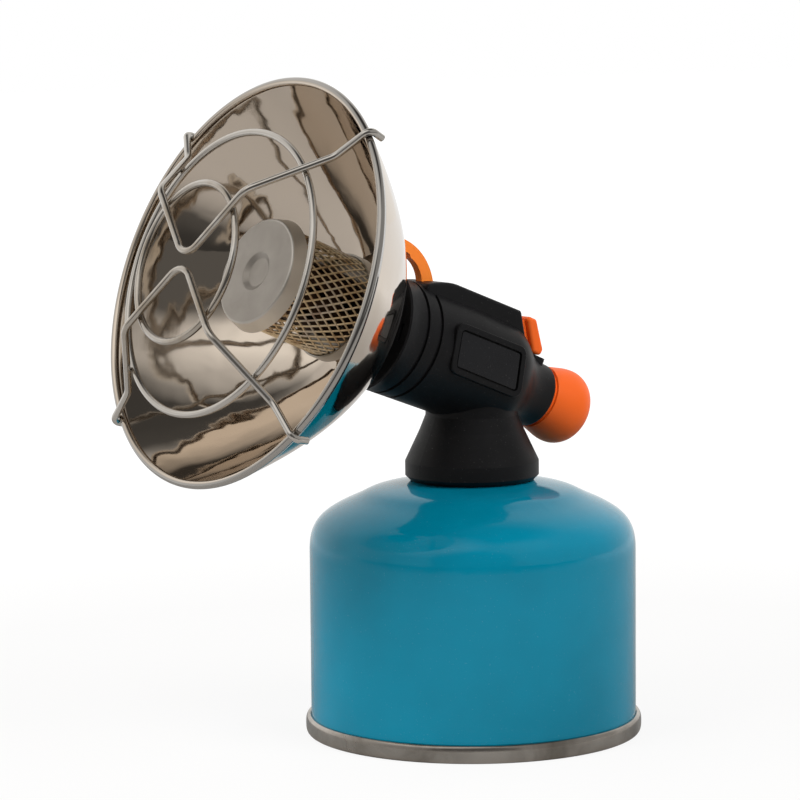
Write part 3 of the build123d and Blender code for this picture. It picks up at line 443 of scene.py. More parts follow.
def tinplate(groups, name, axis, colour, low, high, stain=0.66, lines=0.22):
    """Bright rolled steel with fine rings, dull patches and faint stains."""
    material, tree, shader = new_material(name, colour, Metallic=1.0)
    vector = object_vector(tree, axis)
    turned = place_group(tree, groups["turned"], vector, Line_Scale=1400.0, Slow_Scale=70.0)
    dust = place_group(tree, groups["dust"], vector, Speck_Scale=800.0)
    darker = (colour[0] * stain, colour[1] * stain * 0.93, colour[2] * stain * 0.84)
    stained = mix_colours(tree, dust.outputs["Smudges"], colour, darker)
    rough = remap(tree, turned.outputs["Mask"], 0, 1, low, high)
    feed_surface(tree, shader, stained, rough)
    add_bump(tree, shader, turned.outputs["Height"], lines, 0.00006)
    return material


def moulded_plastic(groups, name, colour, low, high, grain=2600.0, strength=0.25, lift=1.35, gloss=0.5):
    """Moulded plastic with a fine grain, flow marks and dust in it."""
    material, tree, shader = new_material(name, colour, Specular_IOR_Level=gloss)
    vector = object_vector(tree)
    mould = place_group(
        tree, groups["mould"], vector, Grain_Scale=grain, Roughness_Low=low, Roughness_High=high
    )
    dust = place_group(tree, groups["dust"], vector, Speck_Scale=1700.0)
    paler = tuple(min(1, c * lift) for c in colour)
    flow = mix_colours(tree, mould.outputs["Mask"], colour, paler)
    dusty = math_node(tree, "MULTIPLY", dust.outputs["Specks"], 0.06)
    tinted = mix_colours(tree, dusty, flow, (0.5, 0.48, 0.45))
    feed_surface(tree, shader, tinted, mould.outputs["Roughness"])
    add_bump(tree, shader, mould.outputs["Height"], strength, 0.00008)
    return material


def polished_bowl(groups, colour):
    """Spun mirror steel: slow waves, spinning lines, heat tint around the burner and smoke marks."""
    material, tree, shader = new_material("spun_mirror_steel", colour, Metallic=1.0)
    vector = object_vector(tree, reflector_frame)
    turned = place_group(tree, groups["turned"], vector, Line_Scale=520.0, Slow_Scale=34.0)
    waves = noise_node(tree, vector, 38.0, 1, roughness=0.3, distortion=0.6)
    dents = noise_node(tree, vector, 130.0, 1, roughness=0.3, distortion=0.3)
    burnt = remap(tree, turned.outputs["Radius"], 0.010, 0.030, 0.7, 0)
    smoke = math_node(tree, "MULTIPLY", burnt, turned.outputs["Mask"])
    warm = mix_colours(tree, smoke, colour, (0.33, 0.235, 0.15))
    bead = remap(tree, turned.outputs["Radius"], 0.0650, 0.0655, 0, 1)
    rolled = mix_colours(tree, bead, warm, (0.43, 0.41, 0.385))
    rough = remap(tree, turned.outputs["Mask"], 0, 1, 0.03, 0.07)
    feed_surface(tree, shader, rolled, rough)
    wavy = add_bump(tree, shader, waves, 0.55, 0.0011)
    dented = add_bump(tree, shader, dents, 0.24, 0.0003, normal=wavy)
    add_bump(tree, shader, turned.outputs["Height"], 0.05, 0.00004, normal=dented)
    return material


def guard_steel(groups):
    """Bright drawn wire, browned where it crosses the hot middle."""
    material, tree, shader = new_material("bright_drawn_wire", (0.62, 0.60, 0.57), Metallic=1.0)
    vector = object_vector(tree, reflector_frame)
    turned = place_group(tree, groups["turned"], vector, Line_Scale=900.0, Slow_Scale=90.0)
    streaks = noise_node(tree, vector, 1900.0, 3, roughness=0.7)
    hot = remap(tree, turned.outputs["Radius"], 0.020, 0.050, 1, 0)
    tint = math_node(tree, "MULTIPLY", hot, turned.outputs["Mask"])
    warm = mix_colours(tree, tint, (0.58, 0.55, 0.51), (0.40, 0.335, 0.26))
    feed_surface(tree, shader, warm, remap(tree, turned.outputs["Mask"], 0, 1, 0.09, 0.19))
    add_bump(tree, shader, streaks, 0.12, 0.00005)
    return material


def brushed_cap(groups):
    """Turned stainless cap with rings, a dull brown bloom and a brighter edge."""
    material, tree, shader = new_material("brushed_cap_steel", (0.42, 0.40, 0.37), Metallic=1.0)
    vector = object_vector(tree, burner_frame)
    turned = place_group(tree, groups["turned"], vector, Line_Scale=2300.0, Slow_Scale=110.0)
    dust = place_group(tree, groups["dust"], vector, Speck_Scale=1300.0)
    bloom = mix_colours(tree, turned.outputs["Mask"], (0.43, 0.395, 0.355), (0.37, 0.337, 0.300))
    edge = remap(tree, turned.outputs["Radius"], 0.0166, 0.0173, 0, 0.9)
    tinted = mix_colours(tree, edge, bloom, (0.74, 0.70, 0.64))
    feed_surface(tree, shader, tinted, remap(tree, dust.outputs["Smudges"], 0, 1, 0.36, 0.50))
    add_bump(tree, shader, turned.outputs["Height"], 0.35, 0.00008)
    return material


def heated_gauze():
    """Expanded steel that has been red hot: gold and straw outside, brown and violet in patches."""
    material, tree, shader = new_material("heat_tinted_gauze", (0.42, 0.33, 0.21), Metallic=1.0)
    vector = object_vector(tree, burner_frame)
    patches = noise_node(tree, vector, 75.0, 3, distortion=0.5)
    fine = noise_node(tree, vector, 1400.0, 2)
    ramp = new_node(tree, "ShaderNodeValToRGB")
    stops = (
        (0.30, (0.32, 0.205, 0.13)),
        (0.42, (0.70, 0.52, 0.32)),
        (0.52, (0.95, 0.80, 0.56)),
        (0.64, (0.84, 0.77, 0.67)),
        (0.76, (0.48, 0.36, 0.30)),
    )
    while len(ramp.color_ramp.elements) < len(stops):
        ramp.color_ramp.elements.new(0.5)
    for element, (place, colour) in zip(ramp.color_ramp.elements, stops):
        element.position = place
        element.color = (*colour, 1)
    link(tree, patches, ramp.inputs["Fac"])
    feed_surface(tree, shader, ramp.outputs["Color"], remap(tree, fine, 0.3, 0.7, 0.30, 0.48))
    add_bump(tree, shader, fine, 0.3, 0.00006)
    return material


def ceramic_glaze(groups):
    """Glazed white ceramic with faint brown smoke."""
    material, tree, shader = new_material("glazed_ceramic", (0.82, 0.80, 0.75), Coat_Weight=0.6)
    vector = object_vector(tree)
    dust = place_group(tree, groups["dust"], vector, Speck_Scale=1600.0)
    smoked = mix_colours(tree, dust.outputs["Smudges"], (0.82, 0.80, 0.75), (0.56, 0.50, 0.42))
    feed_surface(tree, shader, smoked, remap(tree, dust.outputs["Specks"], 0, 1, 0.18, 0.35))
    return material


def build_finishes():
    """All shader groups and materials, by the name of what they finish."""
    finish = bpy.context.scene.heater_finish
    groups = {"mould": build_mould_grain(), "turned": build_turned_lines(), "dust": build_dust()}
    for group in groups.values():
        lay_out(group)
    black = tuple(finish.black_plastic)
    orange = tuple(finish.orange_plastic)
    return {
        "canister_paint": painted_canister(groups, tuple(finish.canister_paint)),
        "tinplate": tinplate(
            groups, "rolled_tinplate", None, (0.46, 0.425, 0.385), 0.14, 0.30, stain=0.30, lines=0.10
        ),
        "white_plastic": moulded_plastic(groups, "natural_nylon", (0.66, 0.65, 0.60), 0.4, 0.5, lift=1.1),
        "seal_rubber": moulded_plastic(groups, "seal_rubber", (0.022, 0.022, 0.022), 0.6, 0.75),
        "brass": tinplate(groups, "turned_brass", burner_frame, (0.66, 0.45, 0.19), 0.22, 0.36),
        "black_plastic": moulded_plastic(
            groups, "satin_black_housing", black, 0.40, 0.54, strength=0.3, lift=1.5, gloss=0.15
        ),
        "badge_plastic": moulded_plastic(
            groups,
            "polished_badge_plate",
            (0.008, 0.008, 0.009),
            0.10,
            0.17,
            grain=900.0,
            strength=0.04,
            gloss=0.28,
        ),
        "zinc_steel": tinplate(groups, "zinc_plated_steel", reflector_frame, (0.60, 0.59, 0.55), 0.25, 0.4),
        "orange_plastic": moulded_plastic(
            groups, "orange_control_plastic", orange, 0.36, 0.46, strength=0.12, lift=1.08, gloss=0.22
        ),
        # Painted light: the hanging loop gets a paler copy of the control plastic, brighter than the knob's
        # orange, standing in for the light that falls on the loop.
        "orange_loop": moulded_plastic(
            groups, "lit_orange_loop_plastic", (1.0, 0.22, 0.03), 0.36, 0.46, strength=0.12, gloss=0.22
        ),
        "tube_steel": tinplate(groups, "burner_tube_steel", burner_frame, (0.44, 0.41, 0.37), 0.26, 0.4),
        "mesh_steel": heated_gauze(),
        "sooted_steel": tinplate(groups, "sooted_inner_tube", burner_frame, (0.085, 0.052, 0.036), 0.4, 0.6),
        "cap_steel": brushed_cap(groups),
        "mirror_steel": polished_bowl(groups, tuple(finish.bowl_steel)),
        "wire_chrome": guard_steel(groups),
        "lead_sleeve": moulded_plastic(groups, "silicone_lead_sleeve", (0.42, 0.03, 0.02), 0.45, 0.6),
        "ceramic": ceramic_glaze(groups),
    }


finishes = {}
record_slot = {part["node"]: part["material_slot"] for part in frame["record"]["subparts"]}


def finish_nodes(names):
    """Give carried-over CAD nodes the finish that the record names for them."""
    for name in names:
        if name not in cad_node:
            raise RuntimeError(f"no node {name}")
        cad_node[name].material_slots[0].material = finishes[record_slot[name]]


# ------------------------------------------------------------------ mesh building blocks
def new_piece(name, mesh, slot, body, *replaced):
    """Link a mesh as a piece at the origin that rides on a body."""
    piece = bpy.data.objects.new(name, mesh)
    bpy.context.scene.collection.objects.link(piece)
    if not mesh.materials:
        mesh.materials.append(finishes[slot])
    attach(piece, body)
    if replaced:
        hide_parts(*replaced)
    return piece


def ring_of_points(bm, radius, height, segments, centre=(0.0, 0.0)):
    """Vertices on a circle around Z."""
    x, y = centre
    angles = [2 * pi * i / segments for i in range(segments)]
    return [bm.verts.new((x + radius * cos(angle), y + radius * sin(angle), height)) for angle in angles]


def join_rings(bm, first, second):
    """Quads between two rings with the same number of vertices."""
    count = len(first)
    for i in range(count):
        bm.faces.new((first[i], first[(i + 1) % count], second[(i + 1) % count], second[i]))


def lathe_mesh(name, profile, segments, matrix):
    """A closed turned mesh; the profile runs from the axis back to the axis."""
    bm = bmesh.new()
    poles = [bm.verts.new((0, 0, height)) for height in (profile[0][1], profile[-1][1])]
    rings = [ring_of_points(bm, radius, height, segments) for radius, height in profile[1:-1]]
    for first, second in zip(rings, rings[1:]):
        join_rings(bm, first, second)
    for pole, ring in zip(poles, (rings[0], rings[-1])):
        for i in range(segments):
            bm.faces.new((pole, ring[i], ring[(i + 1) % segments]))
    return mesh_from(bm, name, matrix)


def mesh_from(bm, name, matrix):
    """A smooth mesh in the part's frame, with its faces pointing outwards."""
    bmesh.ops.recalc_face_normals(bm, faces=bm.faces)
    bm.transform(matrix)
    mesh = bpy.data.meshes.new(name)
    bm.to_mesh(mesh)
    bm.free()
    mesh.shade_smooth()
    return mesh


# ------------------------------------------------------------------ geometry node building blocks
def geometry_tree(name, inputs):
    """A geometry node tree with named inputs and a Geometry output."""
    tree = bpy.data.node_groups.new(name, "GeometryNodeTree")
    identifiers = {}
    for socket, kind, default in inputs:
        made = tree.interface.new_socket(socket, in_out="INPUT", socket_type=kind)
        if default is not None:
            made.default_value = default
        identifiers[socket] = made.identifier
    tree.interface.new_socket("Geometry", in_out="OUTPUT", socket_type="NodeSocketGeometry")
    start = new_node(tree, "NodeGroupInput")
    end = new_node(tree, "NodeGroupOutput")
    return tree, identifiers, start, end


def close_tree(tree, geometry, material, end):
    """Realize Instances and Set Material before the output."""
    realized = fed_node(tree, "GeometryNodeRealizeInstances", {0: geometry})
    painted = fed_node(tree, "GeometryNodeSetMaterial", {"Geometry": realized, "Material": material})
    link(tree, painted, end.inputs["Geometry"])
    lay_out(tree)


def mesh_of_tree(name, tree, identifiers, values, matrix, source=None):
    """Run a geometry node tree with its own inputs and return its result as a plain mesh."""
    holder = bpy.data.objects.new(name + "_holder", source or bpy.data.meshes.new(name + "_holder"))
    bpy.context.scene.collection.objects.link(holder)
    modifier = holder.modifiers.new("shape", "NODES")
    modifier.node_group = tree
    for socket, value in values.items():
        modifier[identifiers[socket]] = value
    depsgraph = bpy.context.evaluated_depsgraph_get()
    mesh = bpy.data.meshes.new_from_object(holder.evaluated_get(depsgraph), depsgraph=depsgraph)
    holder.modifiers.remove(modifier)
    bpy.data.objects.remove(holder)
    if not mesh.polygons:
        raise RuntimeError(f"the tree of {name} made no faces")
    for place in reversed(range(len(mesh.materials))):
        if mesh.materials[place] is None:
            mesh.materials.pop(index=place)
    mesh.name = name
    mesh.transform(matrix)
    return mesh


def build_gauze_tree():
    """Two crossing families of helical strands between two plain end bands."""
    tree, identifiers, start, end = geometry_tree(
        "expanded_gauze",
        (
            ("Radius", "NodeSocketFloat", 0.0166),
            ("Start", "NodeSocketFloat", 0.058),
            ("Length", "NodeSocketFloat", 0.034),
            ("Strands", "NodeSocketInt", 38),
            ("Turns", "NodeSocketFloat", 0.2),
            ("Strand Width", "NodeSocketFloat", 0.0005),
            ("Strand Thickness", "NodeSocketFloat", 0.0004),
            ("Band Width", "NodeSocketFloat", 0.0016),
            ("Material", "NodeSocketMaterial", None),
        ),
    )
    given = start.outputs
    sheet = given["Strand Thickness"]
    rectangle = "GeometryNodeCurvePrimitiveQuadrilateral"
    profile = fed_node(tree, rectangle, {"Width": sheet, "Height": given["Strand Width"]})
    band_profile = fed_node(tree, rectangle, {"Width": sheet, "Height": given["Band Width"]})
    join = new_node(tree, "GeometryNodeJoinGeometry")
    index = new_node(tree, "GeometryNodeInputIndex").outputs[0]
    angle = math_node(tree, "MULTIPLY", index, math_node(tree, "DIVIDE", 2 * pi, given["Strands"]))
    turn = fed_node(tree, "ShaderNodeCombineXYZ", {"Z": angle})
    rotation = fed_node(tree, "FunctionNodeEulerToRotation", {0: turn})
    points = fed_node(tree, "GeometryNodePoints", {"Count": given["Strands"]})
    for reverse in (False, True):
        rounds = {"Resolution": 96, "Rotations": given["Turns"], "Height": given["Length"]}
        ends = {"Start Radius": given["Radius"], "End Radius": given["Radius"], "Reverse": reverse}
        helix = fed_node(tree, "GeometryNodeCurveSpiral", {**rounds, **ends})
        upright = fed_node(tree, "GeometryNodeSetCurveNormal", {"Curve": helix}, mode="Z_UP")
        lean = fed_node(tree, "GeometryNodeSetCurveTilt", {"Curve": upright, "Tilt": radians(24)})
        swept = {"Curve": lean, "Profile Curve": profile, "Fill Caps": True}
        strip = fed_node(tree, "GeometryNodeCurveToMesh", swept)
        copies = {"Points": points, "Instance": strip, "Rotation": rotation}
        link(tree, fed_node(tree, "GeometryNodeInstanceOnPoints", copies), join.inputs[0])
    for far_end in (False, True):
        ring = {"Resolution": 96, "Radius": given["Radius"]}
        circle = fed_node(tree, "GeometryNodeCurvePrimitiveCircle", ring)
        upright = fed_node(tree, "GeometryNodeSetCurveNormal", {"Curve": circle}, mode="Z_UP")
        swept = {"Curve": upright, "Profile Curve": band_profile}
        band = fed_node(tree, "GeometryNodeCurveToMesh", swept)
        height = math_node(tree, "MULTIPLY", given["Band Width"], 0.5)
        if far_end:
            height = math_node(tree, "SUBTRACT", given["Length"], height)
        shift = fed_node(tree, "ShaderNodeCombineXYZ", {"Z": height})
        moved = fed_node(tree, "GeometryNodeTransform", {"Geometry": band, "Translation": shift})
        link(tree, moved, join.inputs[0])
    lift = fed_node(tree, "ShaderNodeCombineXYZ", {"Z": given["Start"]})
    raised = fed_node(tree, "GeometryNodeTransform", {"Geometry": join.outputs[0], "Translation": lift})
    close_tree(tree, raised, given["Material"], end)
    return tree, identifiers


def screw_mesh(name, head_radius, head_height, shank_radius, length):
    """A cheese-head screw along Z with a cross recess; its head sits on z = 0."""
    bm = bmesh.new()
    sides = 48
    profile = (
        (shank_radius * 0.55, -length),
        (shank_radius, shank_radius * 0.6 - length),
        (shank_radius, 0),
        (head_radius, 0),
        (head_radius, head_height * 0.62),
        (head_radius * 0.96, head_height * 0.82),
        (head_radius * 0.86, head_height * 0.95),
        (head_radius * 0.72, head_height),
    )
    rings = [ring_of_points(bm, radius, height, sides) for radius, height in profile]
    for first, second in zip(rings, rings[1:]):
        join_rings(bm, first, second)
    bm.faces.new(rings[0])
    reach, half = head_radius * 0.52, head_radius * 0.13
    arm = ((reach, -half), (reach, half), (half, half))
    outline = []
    for turn in range(4):
        c, s = round(cos(turn * pi / 2)), round(sin(turn * pi / 2))
        outline += [(x * c - y * s, x * s + y * c) for x, y in arm]
    mouth = [bm.verts.new((x, y, head_height)) for x, y in outline]
    pit = [bm.verts.new((x * 0.6, y * 0.6, head_height * 0.38)) for x, y in outline]
    join_rings(bm, mouth, pit)
    bm.faces.new(pit)
    pairs = [(ring[i - 1], ring[i]) for ring in (mouth, rings[-1]) for i in range(len(ring))]
    edges = [bm.edges.get(pair) for pair in pairs]
    bmesh.ops.triangle_fill(bm, use_beauty=True, edges=edges)
    mesh = mesh_from(bm, name, Matrix())
    mesh.set_sharp_from_angle(angle=radians(35))
    return mesh


def add_screws(name, node, screw, spots, matrix):
    """Place one screw at several spots of a frame, as a piece in place of a CAD node."""
    tree, identifiers, start, end = geometry_tree(
        name, (("Screw", "NodeSocketGeometry", None), ("Material", "NodeSocketMaterial", None))
    )
    join = new_node(tree, "GeometryNodeJoinGeometry")
    instance = fed_node(tree, "GeometryNodeGeometryToInstance", {0: start.outputs["Screw"]})
    for x, y in spots:
        moved = fed_node(tree, "GeometryNodeTransform", {"Geometry": instance, "Translation": (x, y, 0)})
        link(tree, moved, join.inputs[0])
    close_tree(tree, join.outputs[0], start.outputs["Material"], end)
    screw.materials.append(finishes["zinc_steel"])
    values = {"Material": finishes["zinc_steel"]}
    mesh = mesh_of_tree(name, tree, identifiers, values, matrix, screw)
    new_piece(name, mesh, "zinc_steel", "heater_head", node)


# ------------------------------------------------------------------ operators
class HEATER_OT_finishes(bpy.types.Operator):
    """Build the shader groups and the finishes"""

    bl_idname = "heater.finishes"
    bl_label = "Finishes"

    def execute(self, context):
        finishes.update(build_finishes())
        for material in finishes.values():
            lay_out(material.node_tree)
        return {"FINISHED"}


class HEATER_OT_canister(bpy.types.Operator):
    """Finish the canister, its rolled base and its valve"""

    bl_idname = "heater.canister"
    bl_label = "Canister"

    def execute(self, context):
        finish_nodes(name for name in cad_node if name.startswith("canister_"))
        seam_radius, rim_radius, rim_width, rim_height = 0.05385, 0.0555, 0.0026, 0.0059
        foot_rise, foot_seat, sheet, body_edge = 0.0090, 0.0030, 0.0006, 0.00475
        inner, middle = rim_radius - rim_width, rim_radius - rim_width / 2
        foot_steps, bead_steps = 20, 36

        def foot(share, lift):
            return inner * share, foot_rise + lift + (foot_seat - foot_rise) * share * share

        squareness = 0.72

        def rounded(value):
            return (1 if value > 0 else -1) * abs(value) ** squareness

        profile = [foot(step / foot_steps, 0) for step in range(foot_steps + 1)]
        for step in range(1, bead_steps + 1):
            angle = pi + 1.5 * pi * step / bead_steps
            profile.append(
                (
                    middle + rim_width / 2 * rounded(cos(angle)),
                    rim_height / 2 * (1 + rounded(sin(angle))),
                )
            )
        profile += [(seam_radius, rim_height), (seam_radius, body_edge), (inner, body_edge)]
        lift = body_edge - foot_seat
        profile += [
            foot(step / foot_steps, sheet + (lift - sheet) * (step / foot_steps) ** 8)
            for step in range(foot_steps - 1, -1, -1)
        ]
        mesh = lathe_mesh("canister_rolled_base", profile, 256, Matrix())
        new_piece("canister_rolled_base", mesh, "tinplate", "canister", "canister_base")
        return {"FINISHED"}


class HEATER_OT_housing(bpy.types.Operator):
    """Finish the housing halves, their screws, the badge plate and the hanging loop"""

    bl_idname = "heater.housing"
    bl_label = "Housing"

    def execute(self, context):
        finish_nodes(("housing_right", "housing_left", "housing_screws", "badge_plate"))
        # The loop takes the paler copy of the orange plastic, with painted light in its colour.
        cad_node["hang_loop"].material_slots[0].material = finishes["orange_loop"]
        seat, collar_y, collar_z, barrel_along, barrel_down = 0.0075, 0.0132, 0.0911, 0.0200, 0.0124
        across = Vector((0, burner_direction.z, -burner_direction.y))
        barrel = burner_origin + burner_direction * barrel_along - across * barrel_down
        spots = ((collar_y, collar_z), (-collar_y, collar_z), (-barrel.y, barrel.z))
        side_frame = Matrix(((0, 0, -1, -seat), (-1, 0, 0, 0), (0, 1, 0, 0), (0, 0, 0, 1)))
        screw = screw_mesh("housing_screw", 0.0027, 0.0019, 0.00145, 0.0140)
        add_screws("housing_cross_screws", "housing_screws", screw, spots, side_frame)
        return {"FINISHED"}


class HEATER_OT_gas_train(bpy.types.Operator):
    """Finish the valve, its seal and pin, the gland, the jet and the spindle"""

    bl_idname = "heater.gas_train"
    bl_label = "Gas train"

    def execute(self, context):
        finish_nodes(("valve_body", "inlet_seal", "inlet_pin", "gland_nut", "gas_jet", "valve_spindle"))
        return {"FINISHED"}


class HEATER_OT_controls(bpy.types.Operator):
    """Finish the knob, the igniter button and the igniter behind it"""

    bl_idname = "heater.controls"
    bl_label = "Knob and igniter"

    def execute(self, context):
        finish_nodes(("knob", "igniter_button", "igniter_plunger", "igniter_body"))
        finish_nodes(("igniter_lead", "electrode_insulator", "electrode_rod"))
        return {"FINISHED"}


class HEATER_OT_burner(bpy.types.Operator):
    """Weave the burner's expanded gauze and finish the cap and the tubes"""

    bl_idname = "heater.burner"
    bl_label = "Burner"

    def execute(self, context):
        finish_nodes(("mixer_tube", "burner_base", "burner_cap", "burner_mesh"))
        cad_node["burner_inner_tube"].material_slots[0].material = finishes["sooted_steel"]
        sizes = context.scene.heater_gauze
        tree, identifiers = build_gauze_tree()
        tube_radius, start, length, band_width = 0.0168, 0.05785, 0.0345, 0.0016
        cells = length / sizes.cell_length
        mesh = mesh_of_tree(
            "burner_gauze",
            tree,
            identifiers,
            {
                "Radius": tube_radius - sizes.strand_thickness,
                "Start": start,
                "Length": length,
                "Strands": sizes.strands,
                "Turns": cells / sizes.strands,
                "Strand Width": sizes.strand_width,
                "Strand Thickness": sizes.strand_thickness,
                "Band Width": band_width,
                "Material": finishes["mesh_steel"],
            },
            burner_frame,
        )
        new_piece("burner_gauze", mesh, "mesh_steel", "heater_head", "burner_mesh")
        return {"FINISHED"}


class HEATER_OT_reflector(bpy.types.Operator):
    """Spin the polished bowl with its rolled edge and finish its screws"""

    bl_idname = "heater.reflector"
    bl_label = "Reflector"

    def execute(self, context):
        finish_nodes(("reflector", "reflector_screws"))
        reach, fixing_height, droop = 0.0126 * sqrt(0.5), 0.0383, radians(3.2)
        face = burner_origin + burner_direction * (droop_pivot + fixing_height / cos(droop))
        spots = ((reach, reach), (-reach, reach), (-reach, -reach), (reach, -reach))
        screw = screw_mesh("reflector_screw", 0.0020, 0.0015, 0.0011, 0.0060)
        fixing_frame = frame_along(face, reflector_direction)
        add_screws("reflector_cross_screws", "reflector_screws", screw, spots, fixing_frame)
        sizes = context.scene.heater_bowl
        radius, depth, rim = 0.0667, 0.0513, 0.0859
        sheet, flat, edge, bead = 0.0006, 0.0164, 0.0662, 0.0013
        hole, hole_up = 0.0097, 0.0021
        vertex = rim - depth

        def height(r):
            return vertex + depth * (r / radius) ** 2

        def normal(r):
            slope = 2 * depth * r / radius**2
            length = sqrt(1 + slope * slope)
            return slope / length, -1 / length

        outside = []
        inside = []
        for step in range(sizes.steps + 1):
            r = flat + (edge - flat) * step / sizes.steps
            out_r, out_t = normal(r)
            outside.append((r, height(r)))
            inside.append((r - sheet * out_r, height(r) - sheet * out_t))
        middle_r = radius - bead
        first = atan2(inside[-1][1] - rim, inside[-1][0] - middle_r)
        last = atan2(outside[-1][1] - rim, outside[-1][0] - middle_r)
        if first > 0:
            first -= 2 * pi
        while last < first:
            last += 2 * pi
        turns = 20
        beads = []
        for step in range(turns + 1):
            angle = first - (first - last + 2 * pi) * step / turns
            beads.append((middle_r + bead * cos(angle), rim + bead * sin(angle)))
        bm = bmesh.new()
        count = sizes.segments
        rings = [ring_of_points(bm, r, t, count) for r, t in inside + beads + outside[::-1]]
        for a, b in zip(rings, rings[1:]):
            join_rings(bm, a, b)
        front_hole = ring_of_points(bm, hole, inside[0][1], count, (0, hole_up))
        back_hole = ring_of_points(bm, hole, outside[0][1], count, (0, hole_up))
        join_rings(bm, front_hole, rings[0])
        join_rings(bm, rings[-1], back_hole)
        join_rings(bm, back_hole, front_hole)
        mesh = mesh_from(bm, "reflector_bowl", reflector_frame)
        new_piece("reflector_bowl", mesh, "mirror_steel", "heater_head", "reflector")
        return {"FINISHED"}


class HEATER_OT_guard(bpy.types.Operator):
    """Finish the guard's rings and wires"""

    bl_idname = "heater.guard"
    bl_label = "Guard"

    def execute(self, context):
        finish_nodes(name for name in cad_node if name.startswith("guard_"))
        return {"FINISHED"}


class HEATER_OT_studio(bpy.types.Operator):
    """Set the floor, the lamps and the camera"""

    bl_idname = "heater.studio"
    bl_label = "Studio"

    def execute(self, context):
        scene = context.scene
        power = scene.heater_studio
        scene.view_settings.view_transform = "Standard"
        self.add_floor()
        self.add_world(scene, power.room_level)
        for name, turn, rise, distance, width, height, strength in (
            ("front_right_lamp", 128, 42, 1.2, 0.7, 0.7, power.front_power),
            ("front_left_lamp", -128, 30, 1.2, 0.7, 0.7, power.front_power),
            ("edge_right_lamp", 50, 12, 1.1, 0.30, 0.95, power.edge_power),
            ("edge_left_lamp", -50, 12, 1.1, 0.30, 0.95, power.edge_power),
        ):
            self.add_lamp(name, studio_direction(turn, rise) * distance, width, height, strength)
        self.add_camera(scene)
        return {"FINISHED"}

    def add_floor(self):
        """A pale floor that shows white to the camera and gives mirrors a white backdrop behind."""
        bm = bmesh.new()
        bmesh.ops.create_grid(bm, x_segments=1, y_segments=1, size=6.0)
        mesh = bpy.data.meshes.new("studio_floor")
        bm.to_mesh(mesh)
        bm.free()
        floor = bpy.data.objects.new("studio_floor", mesh)
        bpy.context.scene.collection.objects.link(floor)
        material = bpy.data.materials.new("pale_floor")
        material.use_nodes = True
        tree = material.node_tree
        tree.nodes.clear()
        diffuse = fed_node(tree, "ShaderNodeBsdfDiffuse", {"Color": (0.38, 0.37, 0.36, 1)})
        place = new_node(tree, "ShaderNodeTexCoord").outputs["Object"]
        reach = new_node(tree, "ShaderNodeVectorMath", operation="LENGTH")
        link(tree, place, reach.inputs[0])
        path = new_node(tree, "ShaderNodeLightPath")
        seen = path.outputs["Is Camera Ray"]
        far = remap(tree, reach.outputs["Value"], 0.25, 0.75, 0.78, 1.0)
        mirrored = remap(tree, reach.outputs["Value"], 0.25, 0.75, 0.0, 0.9)
        backdrop = remap(tree, direction_dot(tree, place, studio_direction(0, 0)), -0.60, 0.25, 0.03, 1.0)
        white = math_node(tree, "MULTIPLY", seen, 1.12)
        strength = math_node(tree, "MAXIMUM", white, backdrop)
        glow = fed_node(tree, "ShaderNodeEmission", {"Strength": strength})
        gloss = math_node(tree, "MULTIPLY", path.outputs["Is Glossy Ray"], mirrored)
        shown = math_node(tree, "MULTIPLY", seen, far)
        share = math_node(tree, "MAXIMUM", shown, gloss)
        mixed = fed_node(tree, "ShaderNodeMixShader", {0: share, 1: diffuse, 2: glow})
        output = new_node(tree, "ShaderNodeOutputMaterial")
        link(tree, mixed, output.inputs["Surface"])
        lay_out(tree)
        mesh.materials.append(material)

    def add_world(self, scene, room_level):
        """A plain room, brighter and darker towards a few directions, and white for the camera."""
        world = bpy.data.worlds.new("studio_world")
        scene.world = world
        world.use_nodes = True
        tree = world.node_tree
        tree.nodes.clear()
        way = new_node(tree, "ShaderNodeTexCoord").outputs["Generated"]
        level = room_level
        for operation, turn, rise, low, high, to_low, to_high in (
            ("MULTIPLY", 180, 8, 0.84, 0.90, 1.0, 0.28),
            ("ADD", 0, 5, 0.30, 0.90, 0.0, 0.50),
            ("ADD", -72, 22, 0.70, 0.95, 0.0, 0.35),
            ("MULTIPLY", 0, 90, 0.80, 0.93, 1.0, 0.14),
            ("ADD", -140, 52, 0.82, 0.95, 0.0, 0.62),
        ):
            dot = direction_dot(tree, way, studio_direction(turn, rise))
            share = remap(tree, dot, low, high, to_low, to_high)
            level = math_node(tree, operation, level, share)
        room = {"Color": (1.0, 0.985, 0.96, 1), "Strength": level}
        soft = fed_node(tree, "ShaderNodeBackground", room)
        white = fed_node(tree, "ShaderNodeBackground", {"Color": (1, 1, 1, 1), "Strength": 1.0})
        seen = new_node(tree, "ShaderNodeLightPath").outputs["Is Camera Ray"]
        mixed = fed_node(tree, "ShaderNodeMixShader", {0: seen, 1: soft, 2: white})
        output = new_node(tree, "ShaderNodeOutputWorld")
        link(tree, mixed, output.inputs["Surface"])
        lay_out(tree)

    def add_lamp(self, name, offset, width, height, power):
        """A soft lamp that faces the object and doesn't show in mirrors."""
        target = Vector((0, -0.03, 0.10))
        lamp = bpy.data.lights.new(name, "AREA")
        lamp.shape = "RECTANGLE"
        lamp.size = width
        lamp.size_y = height
        lamp.energy = power
        holder = bpy.data.objects.new(name, lamp)
        holder.location = target + offset
        holder.rotation_euler = (-offset).to_track_quat("-Z", "Y").to_euler()
        holder.visible_glossy = False
        bpy.context.scene.collection.objects.link(holder)

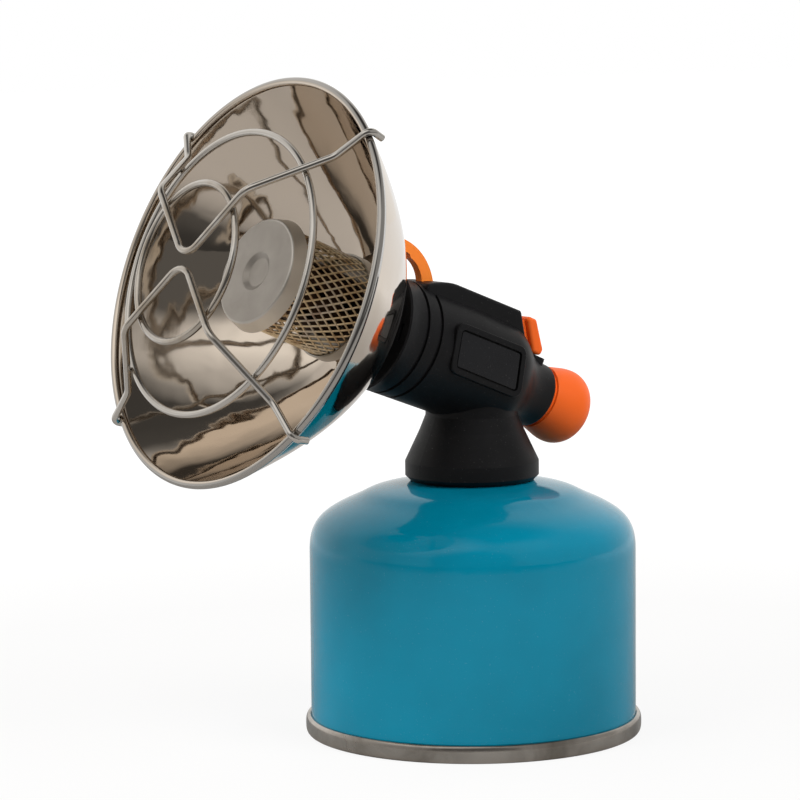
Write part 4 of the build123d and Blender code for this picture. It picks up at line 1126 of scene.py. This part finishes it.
    def add_camera(self, scene):
        """The product view, from the front right and slightly above."""
        camera = bpy.data.cameras.new("product_camera")
        camera.sensor_width = 36
        camera.lens = 158.81
        distance, height = 1.15, 0.2463
        camera.clip_start = 0.05
        camera.clip_end = 30
        swing, pitch, roll = radians(-1.170), radians(6.772), radians(-0.496)
        aim = Vector((sin(swing) * cos(pitch), cos(swing) * cos(pitch), -sin(pitch)))
        right = Vector((cos(swing), -sin(swing), 0))
        up = right.cross(aim)
        rolled_right = cos(roll) * right + sin(roll) * up
        rolled_up = -sin(roll) * right + cos(roll) * up
        basis = Matrix((rolled_right, rolled_up, -aim)).transposed()
        holder = bpy.data.objects.new("product_camera", camera)
        turn = Matrix.Rotation(view_turn, 4, "Z")
        holder.matrix_world = turn @ Matrix.Translation((0, -distance, height)) @ basis.to_4x4()
        scene.collection.objects.link(holder)
        scene.camera = holder


class HEATER_PT_looks(bpy.types.Panel):
    """The heater's pieces, their sizes and colours"""

    bl_idname = "HEATER_PT_looks"
    bl_label = "Heater"
    bl_space_type = "VIEW_3D"
    bl_region_type = "UI"
    bl_category = "Heater"

    def draw(self, context):
        layout = self.layout
        for group in (
            context.scene.heater_finish,
            context.scene.heater_gauze,
            context.scene.heater_bowl,
            context.scene.heater_studio,
        ):
            box = layout.box()
            for name in group.__annotations__:
                box.prop(group, name)
        for operator in operators:
            layout.operator(operator.bl_idname)


setting_groups = {
    "heater_finish": HeaterFinish,
    "heater_gauze": HeaterGauze,
    "heater_bowl": HeaterBowl,
    "heater_studio": HeaterStudio,
}
operators = (
    HEATER_OT_finishes,
    HEATER_OT_canister,
    HEATER_OT_housing,
    HEATER_OT_gas_train,
    HEATER_OT_controls,
    HEATER_OT_burner,
    HEATER_OT_reflector,
    HEATER_OT_guard,
    HEATER_OT_studio,
)


def register():
    for name, group in setting_groups.items():
        bpy.utils.register_class(group)
        setattr(bpy.types.Scene, name, PointerProperty(type=group))
    for operator in operators:
        bpy.utils.register_class(operator)
    bpy.utils.register_class(HEATER_PT_looks)


def unregister():
    bpy.utils.unregister_class(HEATER_PT_looks)
    for operator in reversed(operators):
        bpy.utils.unregister_class(operator)
    for name, group in reversed(setting_groups.items()):
        delattr(bpy.types.Scene, name)
        bpy.utils.unregister_class(group)


def main():
    """Build everything in order."""
    register()
    bpy.ops.heater.finishes()
    bpy.ops.heater.canister()
    bpy.ops.heater.housing()
    bpy.ops.heater.gas_train()
    bpy.ops.heater.controls()
    bpy.ops.heater.burner()
    bpy.ops.heater.reflector()
    bpy.ops.heater.guard()
    bpy.ops.heater.studio()


if __name__ == "__main__":
    main()
